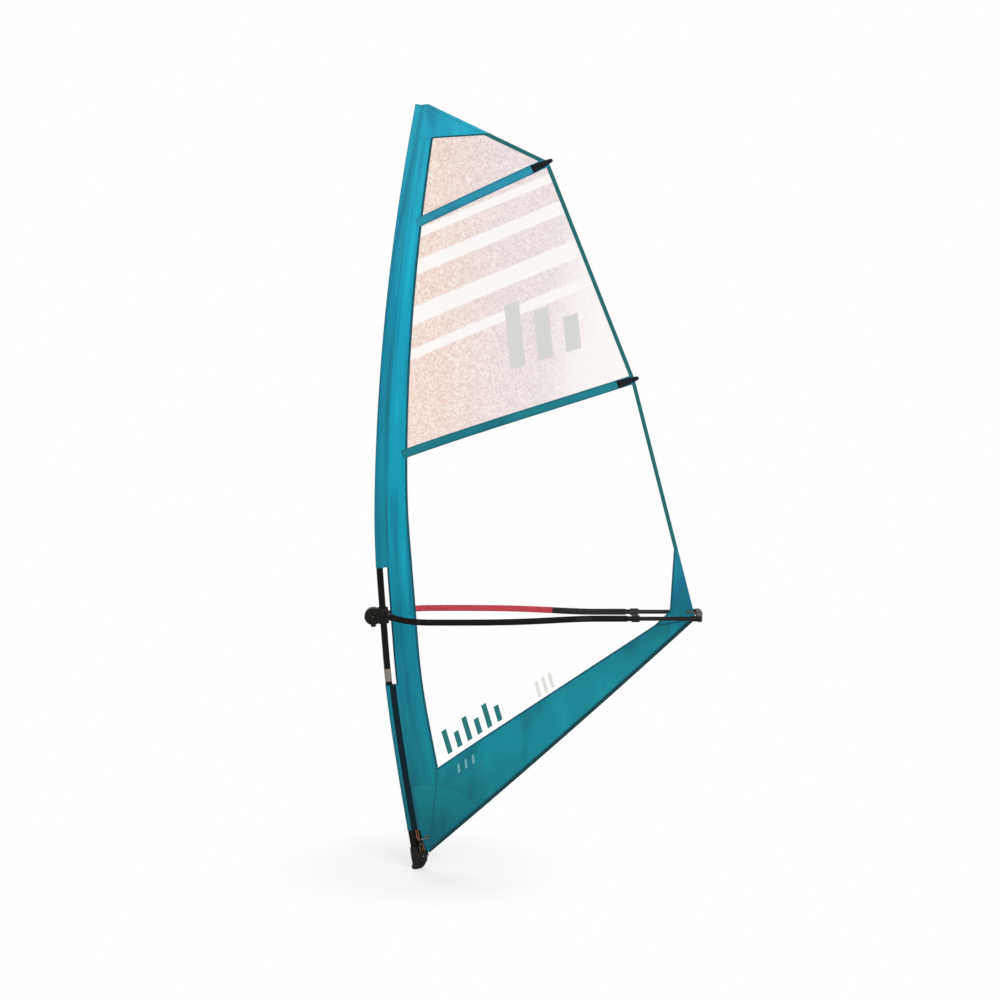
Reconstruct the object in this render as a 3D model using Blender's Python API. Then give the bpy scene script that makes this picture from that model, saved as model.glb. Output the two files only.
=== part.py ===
"""Windsurf rig: four-piece mast, cambered sail, clamp-on boom and mast foot.

Metres, +Z up, +X aft towards the clew, +Y starboard. The origin is the middle of the
pin socket's mouth in the mast foot. The mast axis and the sail lie in the XZ plane,
and the sail bellies out towards +Y.
"""
import math

import bmesh
import bpy
from mathutils import Matrix, Vector

# Fits between pieces
FIT = 0.0003                  # running and seating clearance
SEAM = 0.0005                 # gap between two sewn panels

# Mast
MAST_RADIUS = 0.0163
MAST_TIP_RADIUS = 0.0092
MAST_WALL = 0.003
MAST_SIDES = 16
RING_PITCH = 0.20             # most height between two rings of the mast
RING_PITCH_BENT = 0.12
MAST_TAPER_Z = 1.9            # the tube is parallel up to this height
MAST_FIRST_JOINT_Z = 0.955
MAST_TOP_Z = 3.680
MAST_SECTIONS = 4
FERRULE_HALF = 0.070
FERRULE_WALL = 0.0026
PLUG_SHANK = 0.030
PLUG_HEAD = 0.005

# Boom height, and the mast's bend below and above its straight grip zone
BOOM_Z = 1.252
GRIP_ZONE_HALF = 0.150
FOOT_SLOPE = -0.162           # the mast's lean dx/dz in its straight foot
FOOT_STRAIGHT_Z = 0.350
SHIN_SLOPE = -0.140
SHIN_Z = 0.700
GRIP_SLOPE = -0.070
THROAT_SLOPE = 0.016
THROAT_RISE = 0.394           # from the grip zone to where the top bend starts
TIP_SLOPE = 0.200
TIP_SLOPE_Z = 3.800

# Mast foot, in its own frame whose axis is the mast's
SOCKET_RADIUS = 0.0085
SOCKET_DEPTH = 0.038
SOCKET_FLOOR = 0.007
FLANGE_RADIUS = 0.0280
FLANGE_HEIGHT = 0.018
BASE_RADIUS = 0.0225
BASE_HEIGHT = 0.088
EDGE_BREAK = 0.0015
FLANGE_CHAMFER = 0.004
FLANGE_FLARE = 0.003
BOX_WALL = 0.004              # round the sheave slots
BOX_ROOT = 0.008              # sheave box let into the housing
BOX_RISE = 0.022              # axle to the sheave box's top
HEEL_TOE = 0.002              # flange edge to the gusset's toe
HEEL_LOW = 0.003
HEEL_TOP = 0.034
TUBE_WALL = 0.0025
TUBE_TOP = 0.330
TUBE_HOLE_RADIUS = 0.003
TUBE_HOLE_PITCH = 0.025
TUBE_HOLES = 6
COLLAR_RADIUS = 0.0210
COLLAR_HEIGHT = 0.020
COLLAR_TAPER = 0.005
COLLAR_LAND = 0.001
COLLAR_PIN_PROUD = 0.001
BUTTON_RADIUS = 0.0055
BUTTON_HEAD = 0.008
BUTTON_THROAT = 0.003         # the head's last stretch, thinned to the shank
BUTTON_SHY = 0.0005           # shank's end outside the pin socket
BUTTON_WELL_END = 0.004       # pin socket's axis to the well's end
BUTTON_PROUD = 0.0035
BUTTON_PRESS = 0.0030
BUTTON_SHANK_RADIUS = 0.003
BUTTON_HEIGHT = 0.027

# Sheaves and ropes
SHEAVE_RADIUS = 0.0105
SHEAVE_HALF = 0.0040
SHEAVE_OFFSET = 0.0055
SHEAVE_HUB = 0.0028
ROPE_RADIUS = 0.0019
ROPE_TRACK = 0.0095           # rope centreline's radius on a sheave
CHEEK = 0.0018
SLOT_PLAY = 0.0012            # rope to the slot's ends
EYE_RADIUS = 0.006
EYE_RISE = 0.0012             # block's eye above the middle of its lug
EYE_PLAY = 0.0008
BLOCK_RIM = 0.001
LUG_STEP = 0.002              # slot's end to where the lug narrows
BASE_SHEAVE_X = 0.0380
BASE_SHEAVE_Z = 0.0550
TACK_SHEAVE_X = 0.0360
TACK_SHEAVE_Z = 0.1160

# Luff sleeve
CLOTH = 0.0012
SLEEVE_TAIL = 0.0400          # mast axis to the sleeve's seam
SLEEVE_TAIL_TOP = 0.0300
SLEEVE_FOOT_Z = 0.190
CUTOUT_BELOW = 0.342
CUTOUT_ABOVE = 0.233
HEAD_CAP = 0.016

# Sail outline, apart from the luff
HEAD_WIDTH = 0.022
LEECH_1 = (0.632, 3.432)
LEECH_2 = (1.045, 2.398)
CLEW_X = 1.343
CLEW_DROP = 0.007             # clew below the boom's axis
TACK = (0.0587, 0.0753)
TACK_NOSE = (0.0400, 0.0900)
FOOT_ROUND = 0.012
DRAFT = 0.045                 # belly as a share of the chord
FLAT_CORNER = 0.140
CORNER_FADE = 0.450
BAND_WIDTHS = ((0.0, 0.215), (0.52, 0.197), (0.95, 0.182), (1.50, 0.178), (1.82, 0.159),
               (2.42, 0.129), (3.22, 0.116), (3.80, 0.096))
HEAD_LOW_Z = 3.540
HEAD_LOW_RISE = 0.065         # slope of the head panel's lower edge
FOOT_WINDOW_FRONT_Z = 0.505
FOOT_WINDOW_AFT = (1.153, 1.201)
CLEW_INNER = (1.225, 1.270)
CLEW_TOP_Z = 1.573
TAPE_WIDTH = 0.015
FOOT_TAPE_WIDTH = 0.018

# Battens
BATTEN_SLOPES = (0.468, 0.330)
POCKET_HALF = 0.0215
POCKET_WALL = 0.0010
BATTEN_HALF = 0.0115
BATTEN_THICK = 0.0030
BATTEN_SHORT = 0.004          # batten's end inside its pocket's front end
CAP_INSIDE = 0.088
CAP_PROUD = 0.020
CAP_THICK = 0.011
CAP_SOCKET = 0.050

# Corner rings and the tack shackle
RING_RADIUS = 0.012
RING_HOLE = 0.006
RING_THICK = 0.006
TACK_RING = (0.047, 0.152)
CLEW_RING_BACK = 0.030
CLEW_RING_RISE = 0.025
SHACKLE_WIRE = 0.0017
SHACKLE_ENDS = 0.0045         # half the shackle's width at its pins
SHACKLE_SHOULDERS = 0.0068
SHACKLE_BELLY = 0.0075
SHACKLE_BEND = 0.0020
LUG_HALF = 0.0040

# Boom head
BUSH_WALL = 0.003
HEAD_WALL = 0.0075
HEAD_HEIGHT = 0.076
HEAD_SLOT = 0.008
EAR_RADIUS = 0.042
EAR_REACH = 0.048             # mast axis to the clamp bolt
EAR_HALF = 0.020
BOLT_RADIUS = 0.004
SOCKET_WALL = 0.0042          # of the sockets that hold the arms
SOCKET_ROOT = 0.034
LEVER_PIVOT_OUT = 0.0105      # ear face to the lever's pivot
LEVER_WIDTH = 0.024
LEVER_LENGTH = 0.046
LEVER_THICK = 0.007
TRUNNION_RADIUS = 0.0032
NUT_RADIUS = 0.011
NUT_THICK = 0.008
NUT_CHAMFER = 0.002

# Boom arms and tail
ARM_RADIUS = 0.0125
ARM_WALL = 0.0018
ARM_SIDES = 12
ARM_START_AFT = 0.034         # mast axis to the arm's mouth, along X
ARM_START_HALF = 0.050
ARM_START_ANGLE = math.radians(55)
ARM_WIDEST_X = 0.100
ARM_WIDEST = 0.195
ARM_PARALLEL_X = 0.870
ARM_PARALLEL_HALF = 0.092
ARM_SKEW = 1.8
ARM_END_X = 1.055
SOCKET_GRIP = 0.018
GRIP_WALL = 0.0022
GRIP_BREAK_X = 0.660          # the starboard grip changes colour here
GRIP_END_X = 1.012
COLLAR_LIP = 0.018
ARM_COLLAR_LENGTH = 0.040
ARM_COLLAR_WALL = 0.0045
TAIL_INSERT = 0.180
TAIL_WALL = 0.0016
TAIL_SOCKET_WALL = 0.004
CASTING_FRONT_X = 1.350
CASTING_LENGTH = 0.028
CASTING_HALF = 0.014
CASTING_SOCKET = 0.034
CASTING_BOND = 0.010          # tube into the casting's socket
CASTING_CROWN = 0.010
CASTING_FLOOR = 0.0018
ROLLER_AXLE_HALF = 0.026
ROLLER_SETBACK = 0.0075       # casting's front to the rollers' axle
CLIP_LENGTH = 0.040
CLIP_HALF = 0.007
CLIP_THICK = 0.005
CLIP_PIN_RADIUS = 0.0014
CLIP_KNUCKLE = 0.0038
CLIP_STAND_OFF = 0.0045       # collar's side to the clip's pin
CLIP_SET_BACK = 0.007
CLIP_FINGER = 0.008
LUG_THICK = 0.003
LUG_REACH = 0.004

ROLLER_X = CASTING_FRONT_X + ROLLER_SETBACK
FOOT_LEAN = math.atan(FOOT_SLOPE)
GRIP_LEAN = math.atan(GRIP_SLOPE)

# Finishes: colour, roughness, metallic
CARBON = ("mast_composite", (0.012, 0.012, 0.011), 0.38, 0.0)
TEAL = ("teal_cloth", (0.012, 0.230, 0.330), 0.55, 0.0)
DARK_TEAL = ("edge_tape", (0.008, 0.070, 0.085), 0.60, 0.0)
FILM = ("clear_film", (0.86, 0.88, 0.88), 0.15, 0.0)
BLUSH_FILM = ("blush_film", (0.80, 0.60, 0.60), 0.20, 0.0)
NYLON = ("black_nylon", (0.018, 0.018, 0.018), 0.45, 0.0)
RUBBER = ("rubber", (0.025, 0.025, 0.025), 0.80, 0.0)
FOAM = ("black_foam", (0.020, 0.018, 0.018), 0.90, 0.0)
RED_FOAM = ("red_foam", (0.520, 0.025, 0.045), 0.85, 0.0)
STEEL = ("stainless_steel", (0.55, 0.55, 0.54), 0.30, 1.0)
ALLOY = ("black_alloy", (0.030, 0.030, 0.032), 0.35, 0.8)
ROPE = ("rope", (0.360, 0.300, 0.210), 0.85, 0.0)
FIBRE = ("glass_fibre", (0.55, 0.52, 0.38), 0.45, 0.0)


def clear_scene():
    """Take every object out of the file."""
    for thing in list(bpy.data.objects):
        bpy.data.objects.remove(thing, do_unlink=True)


def material(finish):
    """Find or make the Principled material of a finish."""
    name, colour, roughness, metallic = finish
    made = bpy.data.materials.get(name) or bpy.data.materials.new(name)
    made.use_nodes = True
    shader = made.node_tree.nodes["Principled BSDF"]
    shader.inputs["Base Color"].default_value = (*colour, 1.0)
    shader.inputs["Roughness"].default_value = roughness
    shader.inputs["Metallic"].default_value = metallic
    return made


def empty(name, location=(0, 0, 0), lean=0.0, parent=None):
    """An empty on a joint axis; lean turns it about Y so that its Z is the mast's axis."""
    frame = bpy.data.objects.new(name, None)
    bpy.context.scene.collection.objects.link(frame)
    frame.parent = parent
    frame.location = location
    frame.rotation_euler = (0.0, lean, 0.0)
    return frame


def finish_mesh(name, bm, finish, parent=None, location=(0, 0, 0), rotation=(0, 0, 0)):
    """Turn a bmesh into a named object with its material and smooth shading."""
    bmesh.ops.recalc_face_normals(bm, faces=bm.faces)
    mesh = bpy.data.meshes.new(name)
    bm.to_mesh(mesh)
    bm.free()
    mesh.materials.append(material(finish))
    mesh.shade_smooth()
    mesh.set_sharp_from_angle(angle=math.radians(35))
    thing = bpy.data.objects.new(name, mesh)
    bpy.context.scene.collection.objects.link(thing)
    thing.parent = parent
    thing.location = location
    thing.rotation_euler = rotation
    return thing


def as_cutter(thing):
    """Hide a cutting body from the build."""
    thing.hide_render = True
    thing.display_type = 'WIRE'
    return thing


def boolean(target, tool, operation='DIFFERENCE'):
    """Cut or join target with tool."""
    step = target.modifiers.new(f"{operation.lower()}_{tool.name}", 'BOOLEAN')
    step.operation = operation
    step.solver = 'EXACT'
    step.object = as_cutter(tool)


def loft(bm, rings, cap_start=True, cap_end=True):
    """Skin a row of rings; returns the rings' vertices."""
    rows = [[bm.verts.new(point) for point in ring] for ring in rings]
    for low, high in zip(rows, rows[1:]):
        count = len(low)
        for k in range(count):
            after = (k + 1) % count
            bm.faces.new((low[k], low[after], high[after], high[k]))
    if cap_start:
        bm.faces.new(list(reversed(rows[0])))
    if cap_end:
        bm.faces.new(rows[-1])
    return rows


def bridge(bm, ring_a, ring_b):
    """Close the annulus between two rings of equal count."""
    count = len(ring_a)
    for k in range(count):
        after = (k + 1) % count
        bm.faces.new((ring_a[k], ring_a[after], ring_b[after], ring_b[k]))


def pipe(bm, outer, inner, blind=False):
    """A tube between outer and inner rings; a blind one is closed at its far end."""
    shell = loft(bm, outer, False, blind)
    bore = loft(bm, inner, False, blind)
    bridge(bm, shell[0], bore[0])
    if not blind:
        bridge(bm, shell[-1], bore[-1])


def turn(bm, profile, sides, closed=False):
    """Spin an (r, z) profile about Z; a closed profile makes a ring with a bore."""
    verts = [bm.verts.new((radius, 0.0, height)) for radius, height in profile]
    edges = [bm.edges.new(pair) for pair in zip(verts, verts[1:])]
    if closed:
        edges.append(bm.edges.new((verts[-1], verts[0])))
    bmesh.ops.spin(bm, geom=verts + edges, cent=(0, 0, 0), axis=(0, 0, 1),
                   angle=math.tau, steps=sides, use_merge=True)
    bmesh.ops.remove_doubles(bm, verts=bm.verts, dist=1e-6)


def prism(bm, outline, start, end, axis='Z'):
    """Extrude a flat outline from start to end along an axis.

    The outline's two numbers are (x, y) for Z, (x, z) for Y and (y, z) for X.
    """
    order = {'Z': lambda a, b, h: (a, b, h), 'Y': lambda a, b, h: (a, h, b),
             'X': lambda a, b, h: (h, a, b)}[axis]
    loft(bm, [[order(a, b, height) for a, b in outline] for height in (start, end)])


def arc(cx, cy, radius, start, end, steps):
    """Points on an arc, both ends included, angles in degrees."""
    angles = [math.radians(start + (end - start) * k / steps) for k in range(steps + 1)]
    return [(cx + radius * math.cos(a), cy + radius * math.sin(a)) for a in angles]


def box(bm, low, high):
    """An upright box between two corners."""
    outline = [(low[0], low[1]), (high[0], low[1]), (high[0], high[1]), (low[0], high[1])]
    prism(bm, outline, low[2], high[2])


def cylinder(bm, radius, start, end, sides, axis='Z', centre=(0.0, 0.0)):
    """A round bar along an axis about a centre given as in prism."""
    outline = arc(centre[0], centre[1], radius, 0, 360 - 360 / sides, sides - 1)
    prism(bm, outline, start, end, axis)


def quick(name, build, finish=NYLON, **place):
    """Make an object from a function that fills a bmesh."""
    bm = bmesh.new()
    build(bm)
    return finish_mesh(name, bm, finish, **place)


def smooth_through(knots, at):
    """A smooth curve's value at a place, through (place, value) knots."""
    places = [place for place, _ in knots]
    k = max(0, min(len(knots) - 2, sum(place <= at for place in places) - 1))

    def slope(n):
        low, high = max(0, n - 1), min(len(knots) - 1, n + 1)
        return (knots[high][1] - knots[low][1]) / (knots[high][0] - knots[low][0])

    span = knots[k + 1][0] - knots[k][0]
    t = (at - knots[k][0]) / span
    return (knots[k][1] * (1 + 2 * t) * (1 - t) ** 2 + knots[k + 1][1] * t * t * (3 - 2 * t)
            + span * (slope(k) * t * (1 - t) ** 2 - slope(k + 1) * t * t * (1 - t)))


# Mast axis

GRIP_LOW_Z = BOOM_Z - GRIP_ZONE_HALF
GRIP_HIGH_Z = BOOM_Z + GRIP_ZONE_HALF
SLOPES = ((0.0, FOOT_SLOPE), (FOOT_STRAIGHT_Z, FOOT_SLOPE), (SHIN_Z, SHIN_SLOPE),
          (GRIP_LOW_Z, GRIP_SLOPE), (GRIP_HIGH_Z, GRIP_SLOPE),
          (GRIP_HIGH_Z + THROAT_RISE, THROAT_SLOPE), (TIP_SLOPE_Z, TIP_SLOPE))
COLLAR_TOP = BASE_HEIGHT + FIT + COLLAR_HEIGHT
MAST_FOOT_Z = (COLLAR_TOP + FIT) * math.cos(FOOT_LEAN)
UPPER_PITCH = (MAST_TOP_Z - MAST_FIRST_JOINT_Z) / (MAST_SECTIONS - 1)
JOINT_HEIGHTS = [MAST_FIRST_JOINT_Z + UPPER_PITCH * k for k in range(MAST_SECTIONS - 1)]
SECTION_ENDS = [MAST_FOOT_Z] + JOINT_HEIGHTS + [MAST_TOP_Z]
CUTOUT_LOW_Z = BOOM_Z - CUTOUT_BELOW
CUTOUT_HIGH_Z = BOOM_Z + CUTOUT_ABOVE
PLUG_TOP_Z = MAST_TOP_Z + FIT + PLUG_HEAD
SAIL_TOP_Z = PLUG_TOP_Z + FIT + HEAD_CAP


def mast_slope(z):
    """The mast's dx/dz, which runs straight between its named heights."""
    for (z0, s0), (z1, s1) in zip(SLOPES, SLOPES[1:]):
        if z <= z1:
            return s0 + (s1 - s0) * (z - z0) / (z1 - z0)
    return SLOPES[-1][1]


def mast_x(z):
    """The mast axis: the slope's integral from the foot."""
    x = 0.0
    for (z0, s0), (z1, s1) in zip(SLOPES, SLOPES[1:]):
        top = min(z, z1) if (z1, s1) != SLOPES[-1] else z
        slope = s0 + (s1 - s0) * (top - z0) / (z1 - z0)
        x += (s0 + slope) / 2 * (top - z0)
        if z <= z1:
            break
    return x


def mast_radius(z):
    """Outer radius: parallel, then a straight taper to the tip."""
    share = max(0.0, (z - MAST_TAPER_Z) / (MAST_TOP_Z - MAST_TAPER_Z))
    return MAST_RADIUS + (MAST_TIP_RADIUS - MAST_RADIUS) * share


def mast_point(z, out, side):
    """A point beside the mast axis at height z: out aft, side to starboard."""
    lean = math.atan(mast_slope(z))
    return Vector((mast_x(z) + out * math.cos(lean), side, z - out * math.sin(lean)))


def mast_heights():
    """Heights of the rings that mast, ferrules and sleeve share, closer in the bends."""
    keys = SECTION_ENDS + [CUTOUT_LOW_Z, CUTOUT_HIGH_Z, SLEEVE_FOOT_Z, SAIL_TOP_Z,
                           FOOT_STRAIGHT_Z, SHIN_Z, GRIP_LOW_Z, GRIP_HIGH_Z]
    keys += [z + side * FERRULE_HALF for z in JOINT_HEIGHTS for side in (-1, 1)]
    keys = sorted(keys)
    heights = []
    for low, high in zip(keys, keys[1:]):
        bent = SHIN_Z <= low < GRIP_LOW_Z or GRIP_HIGH_Z <= low < GRIP_HIGH_Z + THROAT_RISE
        steps = max(1, math.ceil((high - low) / (RING_PITCH_BENT if bent else RING_PITCH)))
        heights += [low + (high - low) * k / steps for k in range(steps)]
    return heights + [keys[-1]]


def heights_between(low, high):
    """The shared heights from low to high, with both ends."""
    inside = [z for z in mast_heights() if low + 1e-5 < z < high - 1e-5]
    return [low] + inside + [high]


def round_ring(z, radius):
    """A ring square to the mast axis."""
    angles = [math.tau * k / MAST_SIDES for k in range(MAST_SIDES)]
    return [mast_point(z, radius * math.cos(a), radius * math.sin(a)) for a in angles]


def bore_radius(z):
    """The mast's inner radius."""
    return mast_radius(z) - MAST_WALL


def mast_section(bm, low, high, spigot):
    """A mast tube; one with a spigot ends below in the ferrule that the next section takes."""
    outer = [round_ring(z, mast_radius(z)) for z in heights_between(low, high)]
    if not spigot:
        pipe(bm, outer, [round_ring(z, bore_radius(z)) for z in heights_between(low, high)])
        return
    fitted = heights_between(low - FERRULE_HALF, low)
    bonded = heights_between(low - FERRULE_HALF, low + FERRULE_HALF)
    free = heights_between(low + FERRULE_HALF, high)
    outer = [round_ring(z, bore_radius(z) - FIT) for z in fitted] + outer
    inner = [round_ring(z, bore_radius(z) - FIT - FERRULE_WALL) for z in bonded]
    inner += [round_ring(z, bore_radius(z)) for z in free]
    pipe(bm, outer, inner)


def build_mast():
    """Four tubes, each ferrule bonded into the tube above it, and the plug in the tip."""
    for n, (low, high) in enumerate(zip(SECTION_ENDS, SECTION_ENDS[1:]), 1):
        top = high - (FIT if n < MAST_SECTIONS else 0.0)
        quick(f"mast_section_{n}", lambda bm: mast_section(bm, low, top, n > 1), CARBON)

    shank = bore_radius(MAST_TOP_Z) - 2 * FIT
    profile = [(0, -PLUG_SHANK), (shank - EDGE_BREAK, -PLUG_SHANK), (shank, -PLUG_SHANK + 0.004),
               (shank, FIT), (MAST_TIP_RADIUS, FIT), (MAST_TIP_RADIUS, FIT + PLUG_HEAD - 0.001),
               (MAST_TIP_RADIUS - 0.001, FIT + PLUG_HEAD), (0, FIT + PLUG_HEAD)]
    quick("mast_top_plug", lambda bm: turn(bm, profile, MAST_SIDES), NYLON,
          location=mast_point(MAST_TOP_Z, 0, 0), rotation=(0, math.atan(mast_slope(MAST_TOP_Z)), 0))


# Luff sleeve and sail surface

def seam_offset(z):
    """Distance from the mast axis to the sleeve's aft seam."""
    share = max(0.0, (z - CUTOUT_HIGH_Z) / (SAIL_TOP_Z - CUTOUT_HIGH_Z))
    return SLEEVE_TAIL + (SLEEVE_TAIL_TOP - SLEEVE_TAIL) * share


def seam_x(z):
    """The sleeve seam as an upright outline x(z)."""
    return mast_x(z) + seam_offset(z) / math.cos(math.atan(mast_slope(z)))


def front_x(z):
    """The sleeve's front as an upright outline x(z)."""
    return mast_x(z) - (mast_radius(z) + FIT + CLOTH)


def band_x(z):
    """Aft edge of the cloth band along the luff."""
    return front_x(z) + smooth_through(BAND_WIDTHS, z)


def sleeve_ring(z, nose, tail, tail_half):
    """Teardrop round the mast: an arc of radius nose, and two walls that meet at tail."""
    step = 360 / MAST_SIDES
    lead = 3 * step
    count = int((360 - 2 * lead) / step)
    angles = [math.radians(lead + step * k) for k in range(count + 1)]
    ring = [mast_point(z, nose * math.cos(a), nose * math.sin(a)) for a in angles]
    return ring + [mast_point(z, tail, -tail_half), mast_point(z, tail, tail_half)]


def sleeve(bm, low, high, closed_above=None):
    """The folded cloth tube that holds the mast; the head's is closed by webbing."""
    def nose(z):
        return mast_radius(min(z, MAST_TOP_Z)) + FIT

    outer = [sleeve_ring(z, nose(z) + CLOTH, seam_offset(z), CLOTH + FIT)
             for z in heights_between(low, high)]
    inner = [sleeve_ring(z, nose(z), seam_offset(z) - 4 * CLOTH, FIT)
             for z in heights_between(low, closed_above or high)]
    pipe(bm, outer, inner, blind=closed_above is not None)


HEAD = (seam_x(SAIL_TOP_Z) + HEAD_WIDTH, SAIL_TOP_Z)
CLEW = (CLEW_X, BOOM_Z - CLEW_DROP)
OUTLINE = (TACK, CLEW, LEECH_2, LEECH_1, HEAD)


def edge_x(z):
    """The sail's outer edge at height z, straight between its corners."""
    for (x0, z0), (x1, z1) in zip(OUTLINE, OUTLINE[1:]):
        if z <= z1:
            return x0 + (x1 - x0) * (z - z0) / (z1 - z0)
    return HEAD[0]


def camber(x, z):
    """How far the cloth bellies out to starboard.

    Nothing at luff and edge and most at a third of the chord; the patched corners at tack
    and clew stay flat.
    """
    z = max(z, TACK[1] + 0.001)
    chord = max(edge_x(z) - seam_x(z), 0.001)
    u = min(1.0, max(0.0, (x - seam_x(z)) / chord))
    belly = DRAFT * chord * 6.75 * u * (1 - u) ** 2
    for corner in (TACK, CLEW):
        t = min(1.0, max(0.0, (math.dist(corner, (x, z)) - FLAT_CORNER) / CORNER_FADE))
        belly *= t * t * (3 - 2 * t)
    return belly


def lerp(a, b, t):
    """The point a share t of the way from a to b."""
    return a[0] + (b[0] - a[0]) * t, a[1] + (b[1] - a[1]) * t


def shifted(a, b, distance):
    """The line from a to b moved to its left by distance."""
    length = math.hypot(b[0] - a[0], b[1] - a[1])
    dx, dz = -(b[1] - a[1]) / length * distance, (b[0] - a[0]) / length * distance
    return (a[0] + dx, a[1] + dz), (b[0] + dx, b[1] + dz)


def meet(first, second):
    """Where two lines cross, each given by two points."""
    (x1, z1), (x2, z2) = first
    (x3, z3), (x4, z4) = second
    det = (x1 - x2) * (z3 - z4) - (z1 - z2) * (x3 - x4)
    a, b = x1 * z2 - z1 * x2, x3 * z4 - z3 * x4
    return ((a * (x3 - x4) - (x1 - x2) * b) / det, (a * (z3 - z4) - (z1 - z2) * b) / det)


def meet_band(line, gap=SEAM):
    """Where a line crosses the luff band's aft edge, gap clear of it."""
    (x0, z0), (x1, z1) = line
    z = z0
    for _ in range(40):
        x = band_x(z) + gap
        z = z0 + (z1 - z0) * (x - x0) / (x1 - x0)
    return band_x(z) + gap, z


def along(points):
    """A function of 0 to 1 that walks a row of points at an even pace."""
    lengths = [math.dist(a, b) for a, b in zip(points, points[1:])]

    def walk(t):
        left = t * sum(lengths)
        for a, b, length in zip(points, points[1:], lengths):
            if left <= length + 1e-9:
                return lerp(a, b, left / length)
            left -= length
        return points[-1]

    return walk


def by_rows(points, counts=None):
    """A function of 0 to 1 that steps through points, one for each row of a sheet.

    With counts, each stretch between two points is first split into that many rows.
    """
    if counts:
        split = [lerp(a, b, k / n) for a, b, n in zip(points, points[1:], counts) for k in range(n)]
        points = split + [points[-1]]

    def step(t):
        return points[round(t * (len(points) - 1))]

    return step


def sheet(bm, first, second, rows, columns, half=CLOTH / 2):
    """A panel between two boundary curves, laid on the sail's surface with a thickness."""
    grid = [[lerp(first(j / rows), second(j / rows), i / columns) for i in range(columns + 1)]
            for j in range(rows + 1)]
    sides = []
    for sign in (-1, 1):
        sides.append([[bm.verts.new((x, camber(x, z) + sign * half, z)) for x, z in row]
                      for row in grid])
    for layer in sides:
        for low, high in zip(layer, layer[1:]):
            for i in range(columns):
                bm.faces.new((low[i], low[i + 1], high[i + 1], high[i]))
    rims = [layer[0] + [row[-1] for row in layer[1:]] + layer[-1][-2::-1]
            + [row[0] for row in layer[-2:0:-1]] for layer in sides]
    bridge(bm, *rims)


def pocket_line(n):
    """Centreline of batten n from the luff band to the leech."""
    corner = (LEECH_1, LEECH_2)[n]
    fore = (corner[0] - 1.0, corner[1] - BATTEN_SLOPES[n])
    return meet_band((corner, fore)), corner


POCKETS = (pocket_line(0), pocket_line(1))
LEECHES = ((HEAD, LEECH_1), (LEECH_1, LEECH_2), (LEECH_2, CLEW))
INNER_LEECHES = tuple(shifted(a, b, -TAPE_WIDTH) for a, b in LEECHES)
WINDOW_LEECHES = tuple(shifted(a, b, -TAPE_WIDTH - SEAM) for a, b in LEECHES)
HEAD_LOW = ((seam_x(HEAD_LOW_Z), HEAD_LOW_Z), (seam_x(HEAD_LOW_Z) + 1, HEAD_LOW_Z + HEAD_LOW_RISE))
FOOT_WINDOW = ((band_x(FOOT_WINDOW_FRONT_Z), FOOT_WINDOW_FRONT_Z), FOOT_WINDOW_AFT)
CLEW_SEAM = (FOOT_WINDOW_AFT, CLEW)


def pocket_side(n, up):
    """The line along a pocket's side, a seam's gap outside it."""
    return shifted(*POCKETS[n], (POCKET_HALF + SEAM) * up)


def band_curve(low, high, steps=24):
    """The luff band's aft edge between two heights, a seam's gap aft of it."""
    heights = [low + (high - low) * k / steps for k in range(steps + 1)]
    return along([(band_x(z) + SEAM, z) for z in heights])


def foot_curve(inset, start_t=0.0):
    """The rounded foot edge, moved into the sail by inset, from tack to clew."""
    start, end = shifted(TACK, CLEW, inset)
    points = []
    for k in range(17):
        t = start_t + (1 - start_t) * k / 16
        bulge = 4 * FOOT_ROUND * t * (1 - t)
        x, z = lerp(start, end, t)
        length = math.dist(TACK, CLEW)
        points.append((x + bulge * (CLEW[1] - TACK[1]) / length,
                       z - bulge * (CLEW[0] - TACK[0]) / length))
    return points


def build_windows():
    """The three film windows, each between the luff band and the leech tape."""
    top_line = shifted(*HEAD_LOW, -SEAM)
    low = meet_band(pocket_side(0, 1))
    right = (meet(pocket_side(0, 1), WINDOW_LEECHES[0]), meet(top_line, WINDOW_LEECHES[0]))
    quick("top_window", lambda bm: sheet(bm, band_curve(low[1], meet_band(top_line)[1]),
                                         along(right), 4, 7), BLUSH_FILM)

    low, high = meet_band(pocket_side(1, 1)), meet_band(pocket_side(0, -1))
    edge = (meet(pocket_side(1, 1), WINDOW_LEECHES[1]), meet(pocket_side(0, -1), WINDOW_LEECHES[1]))
    quick("mid_window", lambda bm: sheet(bm, band_curve(low[1], high[1]), along(edge), 11, 10),
          BLUSH_FILM)

    bottom = shifted(*FOOT_WINDOW, SEAM)
    low, high = meet_band(bottom), meet_band(pocket_side(1, -1))
    clew_line = shifted(FOOT_WINDOW_AFT, CLEW_INNER, SEAM)
    clew_top = (WINDOW_LEECHES[2], ((0, CLEW_TOP_Z), (1, CLEW_TOP_Z)))
    upper_line = shifted(CLEW_INNER, meet(*clew_top), SEAM)
    edge = [meet(bottom, clew_line), meet(clew_line, upper_line),
            meet(*clew_top), meet(pocket_side(1, -1), WINDOW_LEECHES[2])]
    quick("main_window", lambda bm: sheet(bm, band_curve(low[1], high[1]), by_rows(edge, (2, 4, 8)),
                                          14, 12), FILM)


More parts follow.
